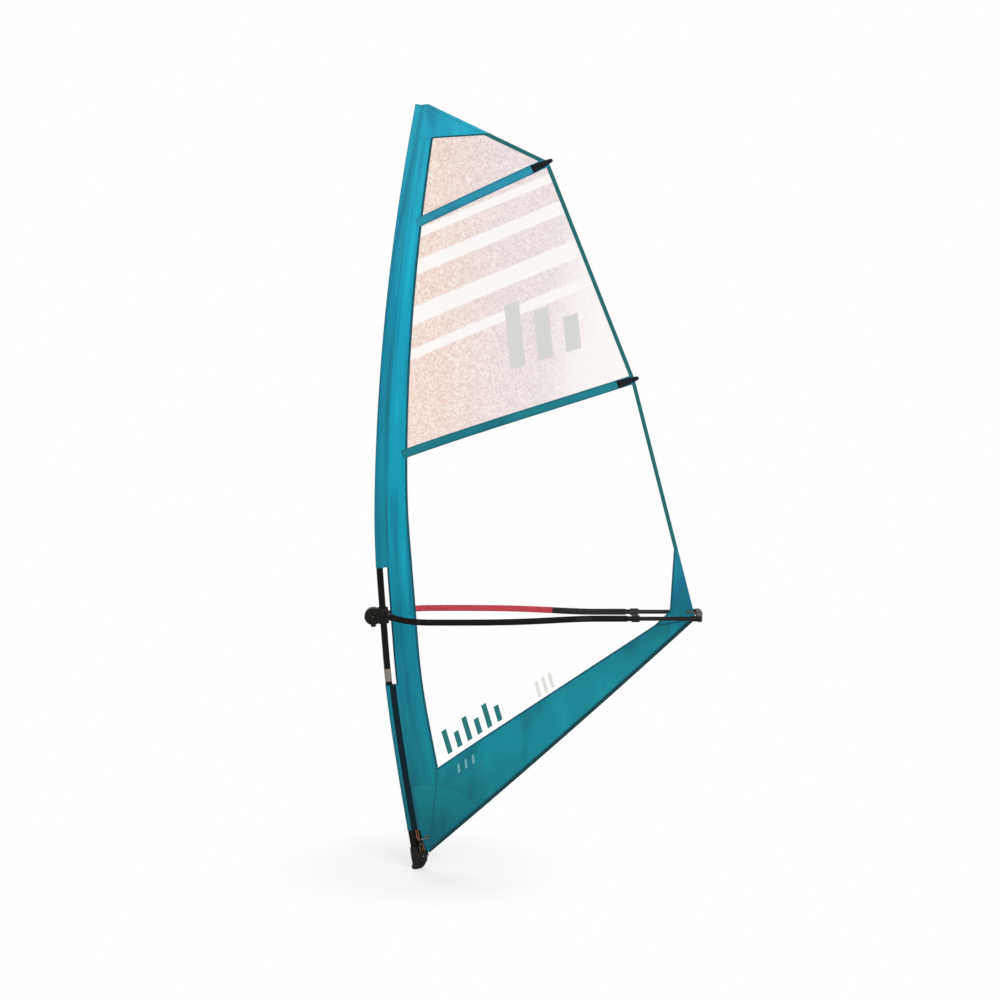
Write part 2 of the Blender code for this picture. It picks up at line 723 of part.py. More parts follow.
def build_cloth_panels():
    """The teal panels round the windows: luff band, head, clew and foot."""
    def luff(bm):
        nose_end = (seam_x(SLEEVE_FOOT_Z) + SEAM, SLEEVE_FOOT_Z)
        top = HEAD_LOW_Z - SEAM
        mid = [SLEEVE_FOOT_Z + (FOOT_WINDOW_FRONT_Z - SLEEVE_FOOT_Z) * k / 4 for k in range(4)]
        high = [FOOT_WINDOW_FRONT_Z + (top - FOOT_WINDOW_FRONT_Z) * k / 30 for k in range(31)]
        fore = [TACK_NOSE, lerp(TACK_NOSE, nose_end, 0.5)] + [(seam_x(z) + SEAM, z) for z in mid + high]
        aft = [lerp(TACK, FOOT_WINDOW[0], k / 6) for k in range(6)] + [(band_x(z), z) for z in high]
        sheet(bm, by_rows(fore), by_rows(aft), len(fore) - 1, 3)

    panel = quick("luff_panel", luff, TEAL)
    boolean(panel, ring_cutter("tack_ring_hole", TACK_RING))

    head_top = (seam_x(SAIL_TOP_Z) + SEAM, SAIL_TOP_Z)
    fore = [(seam_x(z) + SEAM, z) for z in (HEAD_LOW_Z, (HEAD_LOW_Z + SAIL_TOP_Z) / 2, SAIL_TOP_Z)]
    fore[0] = meet(HEAD_LOW, (fore[0], fore[1]))
    aft = [meet(HEAD_LOW, LEECHES[0]), HEAD]
    fore[-1] = head_top
    quick("head_panel", lambda bm: sheet(bm, along(fore), along(aft), 2, 4), TEAL)

    clew_seam = shifted(*CLEW_SEAM, SEAM)
    inner_top = (INNER_LEECHES[2], ((0, CLEW_TOP_Z), (1, CLEW_TOP_Z)))
    inner = [lerp(*clew_seam, 0.004), CLEW_INNER, meet(*inner_top)]
    outer = [meet(clew_seam, LEECHES[2]), meet(LEECHES[2], inner_top[1])]
    clew = quick("clew_panel", lambda bm: sheet(bm, by_rows(inner, (2, 4)), along(outer), 6, 3), TEAL)
    boolean(clew, ring_cutter("clew_ring_hole", clew_ring_place()))

    fore_line = shifted(TACK, FOOT_WINDOW[0], -SEAM)
    top = [meet(fore_line, FOOT_WINDOW), meet(FOOT_WINDOW, CLEW_SEAM)]
    low = foot_curve(FOOT_TAPE_WIDTH + SEAM)
    low[0] = meet(fore_line, (low[0], low[1]))
    low[-1] = meet(CLEW_SEAM, (low[-2], low[-1]))
    quick("foot_panel", lambda bm: sheet(bm, along(low), along(top), 14, 4), TEAL)


def build_edge_tapes():
    """Folded tape round the leech, broken at the pockets, and round the foot."""
    ends = ((HEAD_LOW, pocket_side(0, 1)), (pocket_side(0, -1), pocket_side(1, 1)),
            (pocket_side(1, -1), ((0, CLEW_TOP_Z + SEAM), (1, CLEW_TOP_Z + SEAM))))

    for word, (above, below), outer, inner in zip(("top", "middle", "bottom"), ends, LEECHES,
                                                  INNER_LEECHES):
        above = shifted(*above, -SEAM) if above is HEAD_LOW else above
        first = along([meet(below, inner), meet(above, inner)])
        second = along([meet(below, outer), meet(above, outer)])
        quick(f"leech_tape_{word}", lambda bm: sheet(bm, first, second, 6, 1, CLOTH), TEAL)

    outer, inner = foot_curve(0.0), foot_curve(FOOT_TAPE_WIDTH)
    luff_seam = shifted(TACK, FOOT_WINDOW[0], -SEAM)
    for curve in (outer, inner):
        curve[0] = meet(luff_seam, (curve[0], curve[1]))
    inner[-1] = meet(CLEW_SEAM, (inner[-2], inner[-1]))
    quick("foot_tape", lambda bm: sheet(bm, by_rows(outer), by_rows(inner), 16, 1, CLOTH), DARK_TEAL)


def clew_ring_place():
    """Middle of the ring in the clew panel."""
    return CLEW[0] - CLEW_RING_BACK, CLEW[1] + CLEW_RING_RISE


def ring_cutter(name, place):
    """The hole that a corner ring is pressed into."""
    x, z = place
    y = camber(x, z)
    return quick(name, lambda bm: cylinder(bm, RING_RADIUS - CHEEK + FIT, y - 0.01, y + 0.01, 16,
                                           'Y', place))


def corner_ring(name, place):
    """A pressed ring whose groove holds the panel's edge."""
    half, lip = RING_THICK / 2, CLOTH / 2 + FIT
    groove = RING_RADIUS - CHEEK
    profile = [(RING_HOLE, -half + 0.001), (RING_HOLE + 0.001, -half), (RING_RADIUS - 0.001, -half),
               (RING_RADIUS, -half + 0.001), (RING_RADIUS, -lip), (groove, -lip), (groove, lip),
               (RING_RADIUS, lip), (RING_RADIUS, half - 0.001), (RING_RADIUS - 0.001, half),
               (RING_HOLE + 0.001, half), (RING_HOLE, half - 0.001)]
    x, z = place
    quick(name, lambda bm: turn(bm, profile, 16, closed=True), STEEL,
          location=(x, camber(x, z), z), rotation=(math.pi / 2, 0, 0))


def batten_frame(n, s):
    """Centre on batten n's line at a distance s from the leech, forward being positive."""
    fore, corner = POCKETS[n]
    length = math.dist(fore, corner)
    x, z = lerp(corner, fore, s / length)
    up = Vector((-(corner[1] - fore[1]), 0, corner[0] - fore[0])) / length
    return Vector((x, camber(x, z), z)), up


def batten_ring(n, s, half, thick):
    """A flat rectangle across the batten's line, or along the luff band where s is None."""
    out = Vector((0, thick / 2, 0))
    low, high = [batten_frame(n, s if s is not None else band_reach(n, side * half)) for side in (-1, 1)]
    low, high = low[0] - low[1] * half, high[0] + high[1] * half
    return [low - out, high - out, high + out, low + out]


def band_reach(n, rise):
    """Distance along batten n's line from the leech to the luff band, at a rise above the line."""
    line = shifted(*POCKETS[n], rise)
    return math.dist(meet_band(line), line[1])


def build_battens():
    """Flat battens in sewn pockets, each with a moulded cap at the leech."""
    slot_half, slot_thick = BATTEN_HALF + FIT, BATTEN_THICK + 2 * FIT
    thick = slot_thick + 2 * POCKET_WALL
    steps = ((CAP_INSIDE, 0.84, thick / CAP_THICK), (CAP_INSIDE - 0.010, 0.84, 1.0),
             (CAP_INSIDE - CAP_SOCKET, 0.72, 1.0), (0.010, 0.58, 1.0), (-CAP_PROUD + 0.006, 0.42, 0.8),
             (-CAP_PROUD, 0.26, 0.5))
    for n in (0, 1):
        length = math.dist(*POCKETS[n])
        count = math.ceil((length - CAP_INSIDE) / 0.12)
        pitch = (length - CAP_INSIDE - FIT) / count
        places = [CAP_INSIDE + FIT + pitch * k for k in range(count)] + [None]
        quick(f"batten_pocket_{n + 1}", lambda bm: pipe(
            bm, [batten_ring(n, s, POCKET_HALF, thick) for s in places],
            [batten_ring(n, s, slot_half, slot_thick) for s in places]), TEAL)
        rod = [batten_ring(n, s, BATTEN_HALF, BATTEN_THICK)
               for s in [CAP_INSIDE - CAP_SOCKET + FIT] + places]
        rod[-1] = [fore.lerp(aft, BATTEN_SHORT / pitch) for fore, aft in zip(rod[-1], rod[-2])]
        quick(f"batten_{n + 1}", lambda bm: loft(bm, rod), FIBRE)
        outer = [batten_ring(n, s, POCKET_HALF * wide, CAP_THICK * deep) for s, wide, deep in steps]
        inner = [batten_ring(n, s, slot_half, slot_thick) for s in (CAP_INSIDE, CAP_INSIDE - CAP_SOCKET)]
        quick(f"batten_cap_{n + 1}", lambda bm: pipe(bm, outer, inner, blind=True), NYLON)


def build_sail():
    """Sleeve, panels, windows, tapes, battens and corner rings."""
    quick("sleeve_upper", lambda bm: sleeve(bm, CUTOUT_HIGH_Z, SAIL_TOP_Z, PLUG_TOP_Z + FIT), TEAL)
    quick("sleeve_lower", lambda bm: sleeve(bm, SLEEVE_FOOT_Z, CUTOUT_LOW_Z), TEAL)
    build_cloth_panels()
    build_windows()
    build_edge_tapes()
    build_battens()
    corner_ring("tack_ring", TACK_RING)
    corner_ring("clew_ring", clew_ring_place())


# Ropes

def rope(bm, points, sides=8, steps=3):
    """A round rope through hand-chosen points, rounded by a spline and capped square."""
    ends = [points[0] * 2 - points[1]] + points + [points[-1] * 2 - points[-2]]
    path = []
    for a, b, c, d in zip(ends, ends[1:], ends[2:], ends[3:]):
        for k in range(steps):
            t = k / steps
            path.append(0.5 * ((2 * b) + (c - a) * t + (2 * a - 5 * b + 4 * c - d) * t ** 2
                               + (3 * b - a - 3 * c + d) * t ** 3))
    path.append(points[-1])
    sweep(bm, path, ROPE_RADIUS, sides)


def sweep(bm, path, radius, sides, closed=False):
    """Carry a circle along a path with as little twist as can be."""
    count = len(path)
    rings, normal = [], None
    for k, point in enumerate(path):
        back = path[k - 1] if k or closed else point
        ahead = path[(k + 1) % count] if k < count - 1 or closed else point
        tangent = (ahead - back).normalized()
        if normal is None:
            normal = tangent.orthogonal().normalized()
        normal = (normal - tangent * normal.dot(tangent)).normalized()
        across = tangent.cross(normal)
        rings.append([point + (normal * math.cos(math.tau * n / sides)
                               + across * math.sin(math.tau * n / sides)) * radius
                      for n in range(sides)])
    rows = loft(bm, rings, not closed, not closed)
    if closed:
        bridge(bm, rows[-1], rows[0])


def around(x, z, y, start, end, steps=4):
    """Rope points on a sheave's track about (x, z), angles in degrees."""
    return [Vector((px, y, pz)) for px, pz in arc(x, z, ROPE_TRACK, start, end, steps)]


# Mast foot

def sheave_mesh(bm):
    """A grooved wheel about Z with a bore."""
    track = ROPE_TRACK - ROPE_RADIUS - 2 * FIT
    profile = [(SHEAVE_HUB, -SHEAVE_HALF), (SHEAVE_RADIUS, -SHEAVE_HALF),
               (SHEAVE_RADIUS, -SHEAVE_HALF + 0.0008), (track, -0.0012), (track, 0.0012),
               (SHEAVE_RADIUS, SHEAVE_HALF - 0.0008), (SHEAVE_RADIUS, SHEAVE_HALF),
               (SHEAVE_HUB, SHEAVE_HALF)]
    turn(bm, profile, 16, closed=True)


def sheave_pair(name, x, z, parent):
    """Two sheaves side by side on one axle."""
    for n, side in ((1, -1), (2, 1)):
        quick(f"{name}_{n}", sheave_mesh, ALLOY, parent=parent,
              location=(x, side * SHEAVE_OFFSET, z), rotation=(math.pi / 2, 0, 0))


SLOT_INNER = SHEAVE_OFFSET - SHEAVE_HALF - FIT
SLOT_OUTER = SHEAVE_OFFSET + SHEAVE_HALF + FIT
BLOCK_HALF = SLOT_OUTER + CHEEK
SLOT_REACH = ROPE_TRACK + ROPE_RADIUS + SLOT_PLAY


def sheave_slots(bm, x, z_low, z_high, reach=SLOT_REACH):
    """Two slots that the sheaves run in."""
    for side in (-1, 1):
        low, high = sorted((side * SLOT_INNER, side * SLOT_OUTER))
        box(bm, (x - reach, low, z_low), (x + reach, high, z_high))


def build_foot(frame):
    """Housing with pin socket, sheave box and release button, and the extension."""
    axle = (BASE_SHEAVE_X, BASE_SHEAVE_Z)
    tube_radius = MAST_RADIUS - MAST_WALL - FIT
    tube_seat = SOCKET_DEPTH + SOCKET_FLOOR

    profile = [(0, 0), (FLANGE_RADIUS - EDGE_BREAK, 0), (FLANGE_RADIUS, EDGE_BREAK),
               (FLANGE_RADIUS, FLANGE_HEIGHT - FLANGE_CHAMFER), (BASE_RADIUS, FLANGE_HEIGHT + FLANGE_FLARE),
               (BASE_RADIUS, BASE_HEIGHT - EDGE_BREAK), (BASE_RADIUS - EDGE_BREAK, BASE_HEIGHT),
               (0, BASE_HEIGHT)]
    housing = quick("base_housing", lambda bm: turn(bm, profile, 24), parent=frame)

    wall = SLOT_REACH + BOX_WALL
    root, top = BASE_RADIUS - BOX_ROOT, BASE_SHEAVE_Z + BOX_RISE
    cheek = [(root, top), (root, HEEL_LOW), (FLANGE_RADIUS + HEEL_TOE, HEEL_LOW)]
    cheek += [(axle[0] + wall, HEEL_TOP), (axle[0] + wall, top)]
    boolean(housing, quick("sheave_box", lambda bm: prism(bm, cheek, -BLOCK_HALF - CHEEK,
                                                          BLOCK_HALF + CHEEK, 'Y'), parent=frame), 'UNION')

    def bores(bm):
        cylinder(bm, SOCKET_RADIUS, -0.01, SOCKET_DEPTH, 20)
        cylinder(bm, tube_radius + FIT, tube_seat, BASE_HEIGHT + 0.01, MAST_SIDES)

    boolean(housing, quick("housing_bores", bores, parent=frame))

    def slots(bm):
        sheave_slots(bm, BASE_SHEAVE_X, BASE_SHEAVE_Z - SLOT_REACH, BASE_HEIGHT + 0.02)

    boolean(housing, quick("housing_slots", slots, parent=frame))
    exit_z = BASE_SHEAVE_Z - ROPE_TRACK

    def cross_holes(bm):
        cylinder(bm, SHEAVE_HUB, -0.05, 0.05, 12, 'Y', axle)
        cylinder(bm, ROPE_RADIUS + 4 * FIT, BASE_SHEAVE_X, 0.09, 10, 'X', (SHEAVE_OFFSET, exit_z))

    boolean(housing, quick("housing_cross_holes", cross_holes, parent=frame))

    button_base = -BASE_RADIUS - BUTTON_PROUD
    step = BUTTON_HEAD - BUTTON_THROAT + BUTTON_PRESS
    well = [(0, -0.01), (BUTTON_RADIUS + FIT, -0.01), (BUTTON_RADIUS + FIT, step),
            (BUTTON_SHANK_RADIUS + FIT, step), (BUTTON_SHANK_RADIUS + FIT, -button_base - BUTTON_WELL_END),
            (0, -button_base - BUTTON_WELL_END)]
    place = {"location": (0, button_base, BUTTON_HEIGHT), "rotation": (-math.pi / 2, 0, 0)}
    boolean(housing, quick("button_well", lambda bm: turn(bm, well, 14), parent=frame, **place))

    def button(bm):
        shoulder, latch = BUTTON_HEAD - BUTTON_THROAT, -button_base - SOCKET_RADIUS - BUTTON_SHY
        profile = [(0, 0), (BUTTON_RADIUS - 0.001, 0), (BUTTON_RADIUS, 0.001), (BUTTON_RADIUS, shoulder),
                   (BUTTON_SHANK_RADIUS, shoulder), (BUTTON_SHANK_RADIUS, latch), (0, latch)]
        turn(bm, profile, 14)

    quick("release_button", button, parent=frame, **place)

    sheave_pair("base_sheave", *axle, frame)
    quick("base_sheave_axle", lambda bm: cylinder(bm, SHEAVE_HUB - FIT, -BLOCK_HALF - CHEEK,
                                                  BLOCK_HALF + CHEEK, 12, 'Y', axle), STEEL, parent=frame)

    tube = quick("extension_tube", lambda bm: pipe(
        bm, [circle(tube_radius, z) for z in (tube_seat + FIT, TUBE_TOP)],
        [circle(tube_radius - TUBE_WALL, z) for z in (tube_seat + FIT, TUBE_TOP)]), ALLOY, parent=frame)
    pin_z = BASE_HEIGHT + FIT + COLLAR_HEIGHT / 2

    def tube_holes(bm):
        for k in range(TUBE_HOLES):
            cylinder(bm, TUBE_HOLE_RADIUS, -0.03, 0.03, 8, 'Y', (0, pin_z + TUBE_HOLE_PITCH * k))

    boolean(tube, quick("tube_holes", tube_holes, parent=frame))

    bore = tube_radius + FIT
    low, high = BASE_HEIGHT + FIT, COLLAR_TOP
    ring = [(bore, low), (COLLAR_RADIUS - EDGE_BREAK, low), (COLLAR_RADIUS, low + EDGE_BREAK),
            (COLLAR_RADIUS, high - COLLAR_TAPER), (MAST_RADIUS + COLLAR_LAND, high), (bore, high)]
    collar = quick("extension_collar", lambda bm: turn(bm, ring, MAST_SIDES, closed=True), parent=frame)
    pin_half = COLLAR_RADIUS + COLLAR_PIN_PROUD
    boolean(collar, quick("collar_pin", lambda bm: cylinder(bm, TUBE_HOLE_RADIUS - FIT, -pin_half, pin_half,
                                                            8, 'Y', (0, pin_z)), parent=frame), 'UNION')
    build_cleat(frame, axle[0] + wall)


def circle(radius, z, sides=MAST_SIDES):
    """A level ring about Z."""
    return [Vector((radius * math.cos(math.tau * k / sides), radius * math.sin(math.tau * k / sides), z))
            for k in range(sides)]


CLEAT_WALL = 0.0025
CLEAT_HEIGHT = 0.026
CLEAT_TEETH = 5
CLEAT_DROP = 0.003            # axle to the cleat's foot
CLEAT_JAW = 0.0021
CLEAT_BITE = 0.0010
CLEAT_LIP = 0.002


def build_cleat(frame, wall_x):
    """Toothed cleat on the sheave box's aft wall."""
    low = BASE_SHEAVE_Z - CLEAT_DROP
    base = wall_x + FIT
    half = ROPE_RADIUS + CLEAT_JAW

    def plate(bm):
        box(bm, (base, SHEAVE_OFFSET - half, low), (base + CLEAT_WALL, SHEAVE_OFFSET + half,
                                                    low + CLEAT_HEIGHT))

    cleat = quick("downhaul_cleat", plate, ALLOY, parent=frame)

    def jaws(bm):
        pitch = CLEAT_HEIGHT / CLEAT_TEETH
        for side in (-1, 1):
            near, far, root = ROPE_RADIUS + FIT, half, ROPE_RADIUS + CLEAT_BITE
            edge = []
            for k in range(CLEAT_TEETH):
                edge += [(near, low + pitch * k), (root, low + pitch * (k + 0.9))]
            edge += [(far, low + CLEAT_HEIGHT), (far, low)]
            outline = [(SHEAVE_OFFSET + side * a, b) for a, b in edge]
            prism(bm, outline, base + CLEAT_WALL / 2, base + CLEAT_WALL + 2 * ROPE_RADIUS + CLEAT_LIP, 'X')

    boolean(cleat, quick("cleat_jaws", jaws, ALLOY, parent=frame), 'UNION')


def build_tack(frame):
    """Double block above the foot's sheaves, its shackle, and the purchase line."""
    x, z = TACK_SHEAVE_X, TACK_SHEAVE_Z
    lug_z = z + SLOT_REACH + EYE_RADIUS
    eye_z = lug_z + EYE_RISE
    outline = arc(x, z, SHEAVE_RADIUS + BLOCK_RIM, 180, 360, 8) + arc(x, lug_z, EYE_RADIUS, 0, 180, 6)
    block = quick("tack_block", lambda bm: prism(bm, outline, -BLOCK_HALF, BLOCK_HALF, 'Y'), parent=frame)

    def openings(bm):
        sheave_slots(bm, x, z - 0.03, z + SLOT_REACH, 0.02)
        for side in (-1, 1):
            low, high = sorted((side * LUG_HALF, side * 0.02))
            box(bm, (x - 0.02, low, z + SLOT_REACH + LUG_STEP), (x + 0.02, high, z + 0.05))

    boolean(block, quick("block_slots", openings, parent=frame))

    def holes(bm):
        cylinder(bm, SHEAVE_HUB, -0.02, 0.02, 12, 'Y', (x, z))
        cylinder(bm, SHACKLE_WIRE + EYE_PLAY, -0.02, 0.02, 10, 'Y', (x, eye_z))

    boolean(block, quick("block_holes", holes, parent=frame))
    quick("tack_axle", lambda bm: cylinder(bm, SHEAVE_HUB - FIT, -BLOCK_HALF, BLOCK_HALF, 12, 'Y', (x, z)),
          STEEL, parent=frame)
    sheave_pair("tack_sheave", x, z, frame)

    eye = Matrix.Rotation(FOOT_LEAN, 4, 'Y') @ Vector((x, 0, eye_z))
    ring = Vector((TACK_RING[0], 0, TACK_RING[1]))
    pull = (ring - eye).normalized()
    reach = (ring - eye).length - (RING_HOLE - SHACKLE_WIRE - FIT)

    def shackle(bm):
        bow = [(0, 0), (0, SHACKLE_ENDS), (SHACKLE_BEND, SHACKLE_SHOULDERS), (reach / 2, SHACKLE_BELLY),
               (reach - SHACKLE_BEND, SHACKLE_SHOULDERS), (reach, SHACKLE_ENDS), (reach, 0)]
        bow += [(out, -wide) for out, wide in bow[-2:0:-1]]
        sweep(bm, [eye + pull * out + Vector((0, wide, 0)) for out, wide in bow], SHACKLE_WIRE, 8, True)

    quick("tack_shackle", shackle, STEEL)

    base_x, base_z, off = BASE_SHEAVE_X, BASE_SHEAVE_Z, SHEAVE_OFFSET
    wall_x = base_x + SLOT_REACH + BOX_WALL
    cleat_x = wall_x + FIT + CLEAT_WALL + ROPE_RADIUS + 2 * FIT
    exit_z = base_z - ROPE_TRACK
    dead_end = base_x - SLOT_REACH + ROPE_RADIUS + 3 * FIT
    outer, inner = SLOT_OUTER - ROPE_RADIUS - FIT, SLOT_INNER + ROPE_RADIUS + FIT
    points = [Vector((dead_end, -outer, base_z + 0.016)),
              Vector((dead_end - 0.0005, -outer, base_z + 0.031)),
              Vector((x - ROPE_TRACK, -off, z - 0.012))]
    points += around(x, z, -off, 180, 0)
    points += [Vector((base_x + ROPE_TRACK, -off, base_z + 0.014))]
    points += around(base_x, base_z, -off, 0, -180)
    points += [Vector((base_x - ROPE_TRACK, -inner, base_z + 0.013)),
               Vector((base_x - ROPE_TRACK, -inner * 0.8, base_z + 0.026)),
               Vector((x - ROPE_TRACK, off * 0.6, z - 0.016))]
    points += around(x, z, off, 180, 0)
    points += [Vector((x + 0.003, off, (z + base_z) / 2))]
    points += around(base_x, base_z, off, 180, 270)
    points += [Vector((wall_x - 0.004, off, exit_z)), Vector((wall_x + 0.0015, off, exit_z + 0.0004)),
               Vector((cleat_x, off, exit_z + 0.0040)), Vector((cleat_x, off, base_z + 0.008)),
               Vector((cleat_x, off, base_z + CLEAT_HEIGHT))]
    quick("downhaul_line", lambda bm: rope(bm, points, 6, 2), ROPE, parent=frame)


# Boom

HEAD_BORE = MAST_RADIUS + BUSH_WALL + 2 * FIT
HEAD_RADIUS = HEAD_BORE + HEAD_WALL
BOOM_POINT = Vector((mast_x(BOOM_Z), 0, BOOM_Z))
ARM_START_X = BOOM_POINT.x + ARM_START_AFT


def arm_half(x):
    """Half the boom's width behind its widest place."""
    if x >= ARM_PARALLEL_X:
        return ARM_PARALLEL_HALF
    t = max(0.0, (x - ARM_WIDEST_X) / (ARM_PARALLEL_X - ARM_WIDEST_X)) ** ARM_SKEW
    mean, swing = (ARM_WIDEST + ARM_PARALLEL_HALF) / 2, (ARM_WIDEST - ARM_PARALLEL_HALF) / 2
    return mean + swing * math.cos(math.pi * t)


def arm_path(side):
    """Arm centreline in boom coordinates: out of the head, round the bow, then parallel."""
    start = Vector((ARM_START_X, ARM_START_HALF, 0))
    heading = Vector((math.cos(ARM_START_ANGLE), math.sin(ARM_START_ANGLE), 0))
    widest = Vector((ARM_WIDEST_X, ARM_WIDEST, 0))
    reach = (widest - start).length * 0.45
    points = [start - heading * (SOCKET_GRIP - 0.002), start + heading * SOCKET_GRIP * 0.6]
    first, last = points[-1], widest
    for k in range(1, 8):
        t = k / 8
        points.append(first * (1 - t) ** 3 + (first + heading * reach) * 3 * t * (1 - t) ** 2
                      + (last - Vector((reach, 0, 0))) * 3 * t * t * (1 - t) + last * t ** 3)
    x = ARM_WIDEST_X
    while x < ARM_PARALLEL_X - 0.05:
        points.append(Vector((x, arm_half(x), 0)))
        x += 0.105
    points += [Vector((ARM_PARALLEL_X, ARM_PARALLEL_HALF, 0)), Vector((ARM_END_X, ARM_PARALLEL_HALF, 0))]
    return [Vector((p.x - BOOM_POINT.x, p.y * side, 0)) for p in points]


def path_rings(path, radius, sides=ARM_SIDES):
    """Circles square to a level path."""
    rings = []
    for k, point in enumerate(path):
        tangent = (path[min(k + 1, len(path) - 1)] - path[max(k - 1, 0)]).normalized()
        if k and k < len(path) - 1:
            tangent = ((path[k + 1] - point).normalized() + (point - path[k - 1]).normalized()).normalized()
        across = Vector((-tangent.y, tangent.x, 0))
        rings.append([point + across * math.cos(math.tau * n / sides) * radius
                      + Vector((0, 0, math.sin(math.tau * n / sides) * radius)) for n in range(sides)])
    return rings


def clip_path(path, low_x, high_x):
    """The stretch of a path between two world x places, cut on its straight runs."""
    low, high = low_x - BOOM_POINT.x, high_x - BOOM_POINT.x
    kept = []
    for a, b in zip(path, path[1:]):
        for limit in (low, high):
            if a.x < limit < b.x:
                kept.append(a + (b - a) * ((limit - a.x) / (b.x - a.x)))
        if low < b.x < high:
            kept.append(b)
    return kept


def build_boom_head(boom, head):
    """Hinged-open C of the head, its rubber bush, T bolt, nut and cam lever."""
    half = HEAD_HEIGHT / 2
    body = quick("boom_head", lambda bm: cylinder(bm, HEAD_RADIUS, -half, half, 24), parent=head)

    def ears(bm):
        cylinder(bm, EAR_RADIUS, -EAR_HALF, EAR_HALF, 24, 'Y', (-EAR_REACH, 0))

    boolean(body, quick("head_ears", ears, parent=head), 'UNION')
    heading = Vector((math.cos(ARM_START_ANGLE), math.sin(ARM_START_ANGLE), 0))
    start = Vector((ARM_START_AFT, ARM_START_HALF, 0))
    mouth, root = start + heading * SOCKET_GRIP, start - heading * SOCKET_ROOT
    for side, word in ((-1, "port"), (1, "starboard")):
        ends = [Vector((p.x, p.y * side, 0)) for p in (root, mouth)]
        boolean(body, quick(f"head_socket_{word}", lambda bm: loft(
            bm, path_rings(ends, ARM_RADIUS + SOCKET_WALL, 16)), parent=boom), 'UNION')

    gap = math.degrees(math.asin(HEAD_SLOT / 2 / HEAD_BORE))
    keyhole = arc(0, 0, HEAD_BORE, -180 + gap, 180 - gap, 22)
    keyhole += [(-0.12, HEAD_SLOT / 2), (-0.12, -HEAD_SLOT / 2)]
    boolean(body, quick("head_passage", lambda bm: prism(bm, keyhole, -0.08, 0.08), parent=head))
    boolean(body, quick("bolt_hole", lambda bm: cylinder(bm, BOLT_RADIUS + FIT, -0.05, 0.05, 12, 'Y',
                                                         (-EAR_REACH, 0)), parent=head))
    for side, word in ((-1, "port"), (1, "starboard")):
        path = arm_path(side)
        inside = [path[0] - (path[1] - path[0]).normalized() * FIT, path[1], path[1] * 2 - path[0]]
        boolean(body, quick(f"socket_bore_{word}", lambda bm: loft(
            bm, path_rings(inside, ARM_RADIUS + FIT)), parent=boom))

    def bush(bm):
        step = 360 / MAST_SIDES
        count = MAST_SIDES - 2
        turns = [math.radians(-180 + step * (k + 1)) for k in range(count + 1)]
        inner = [((MAST_RADIUS + FIT) * math.cos(a), (MAST_RADIUS + FIT) * math.sin(a)) for a in turns]
        outer = [((HEAD_BORE - FIT) * math.cos(a), (HEAD_BORE - FIT) * math.sin(a))
                 for a in reversed(turns)]
        prism(bm, inner + outer, -half - 0.003, half + 0.003)

    quick("boom_bush", bush, RUBBER, parent=head)
    pivot_y = -EAR_HALF - LEVER_PIVOT_OUT
    bolt = quick("clamp_bolt", lambda bm: cylinder(bm, BOLT_RADIUS, pivot_y, EAR_HALF + NUT_THICK, 12,
                                                   'Y', (-EAR_REACH, 0)), STEEL, parent=head)

    def trunnion(bm):
        cylinder(bm, TRUNNION_RADIUS, -EAR_REACH - LEVER_WIDTH / 2, -EAR_REACH + LEVER_WIDTH / 2, 12, 'X',
                 (pivot_y, 0))

    boolean(bolt, quick("bolt_trunnion", trunnion, STEEL, parent=head), 'UNION')

    nut = [(BOLT_RADIUS + FIT, 0), (NUT_RADIUS, 0), (NUT_RADIUS, NUT_THICK - NUT_CHAMFER),
           (NUT_RADIUS - NUT_CHAMFER, NUT_THICK), (BOLT_RADIUS + FIT, NUT_THICK)]
    quick("clamp_nut", lambda bm: turn(bm, nut, 16, closed=True), STEEL, parent=head,
          location=(-EAR_REACH, EAR_HALF + FIT, 0), rotation=(-math.pi / 2, 0, 0))

    cam = LEVER_PIVOT_OUT - FIT

    def lever(bm):
        outline = arc(0, 0, cam, -60, 180, 10)
        outline += [(-cam, -0.010), (-cam + 0.001, -LEVER_LENGTH + 0.004), (-cam - 0.003, -LEVER_LENGTH),
                    (-cam + LEVER_THICK - 0.003, -LEVER_LENGTH), (-cam + LEVER_THICK, -LEVER_LENGTH + 0.010),
                    (-cam + LEVER_THICK + 0.002, -0.016)]
        prism(bm, outline, -LEVER_WIDTH / 2, LEVER_WIDTH / 2, 'X')

    handle = quick("boom_lever", lever, ALLOY, parent=head, location=(-EAR_REACH, pivot_y, 0))

    wide = BOLT_RADIUS + 2 * FIT
    place = {"parent": head, "location": (-EAR_REACH, pivot_y, 0)}
    boolean(handle, quick("lever_fork", lambda bm: box(bm, (-wide, -cam - 0.001, -wide),
                                                       (wide, cam + 0.001, cam + 0.001)), **place))
    boolean(handle, quick("lever_eye", lambda bm: cylinder(bm, TRUNNION_RADIUS + FIT, -0.02, 0.02, 12,
                                                           'X'), **place))


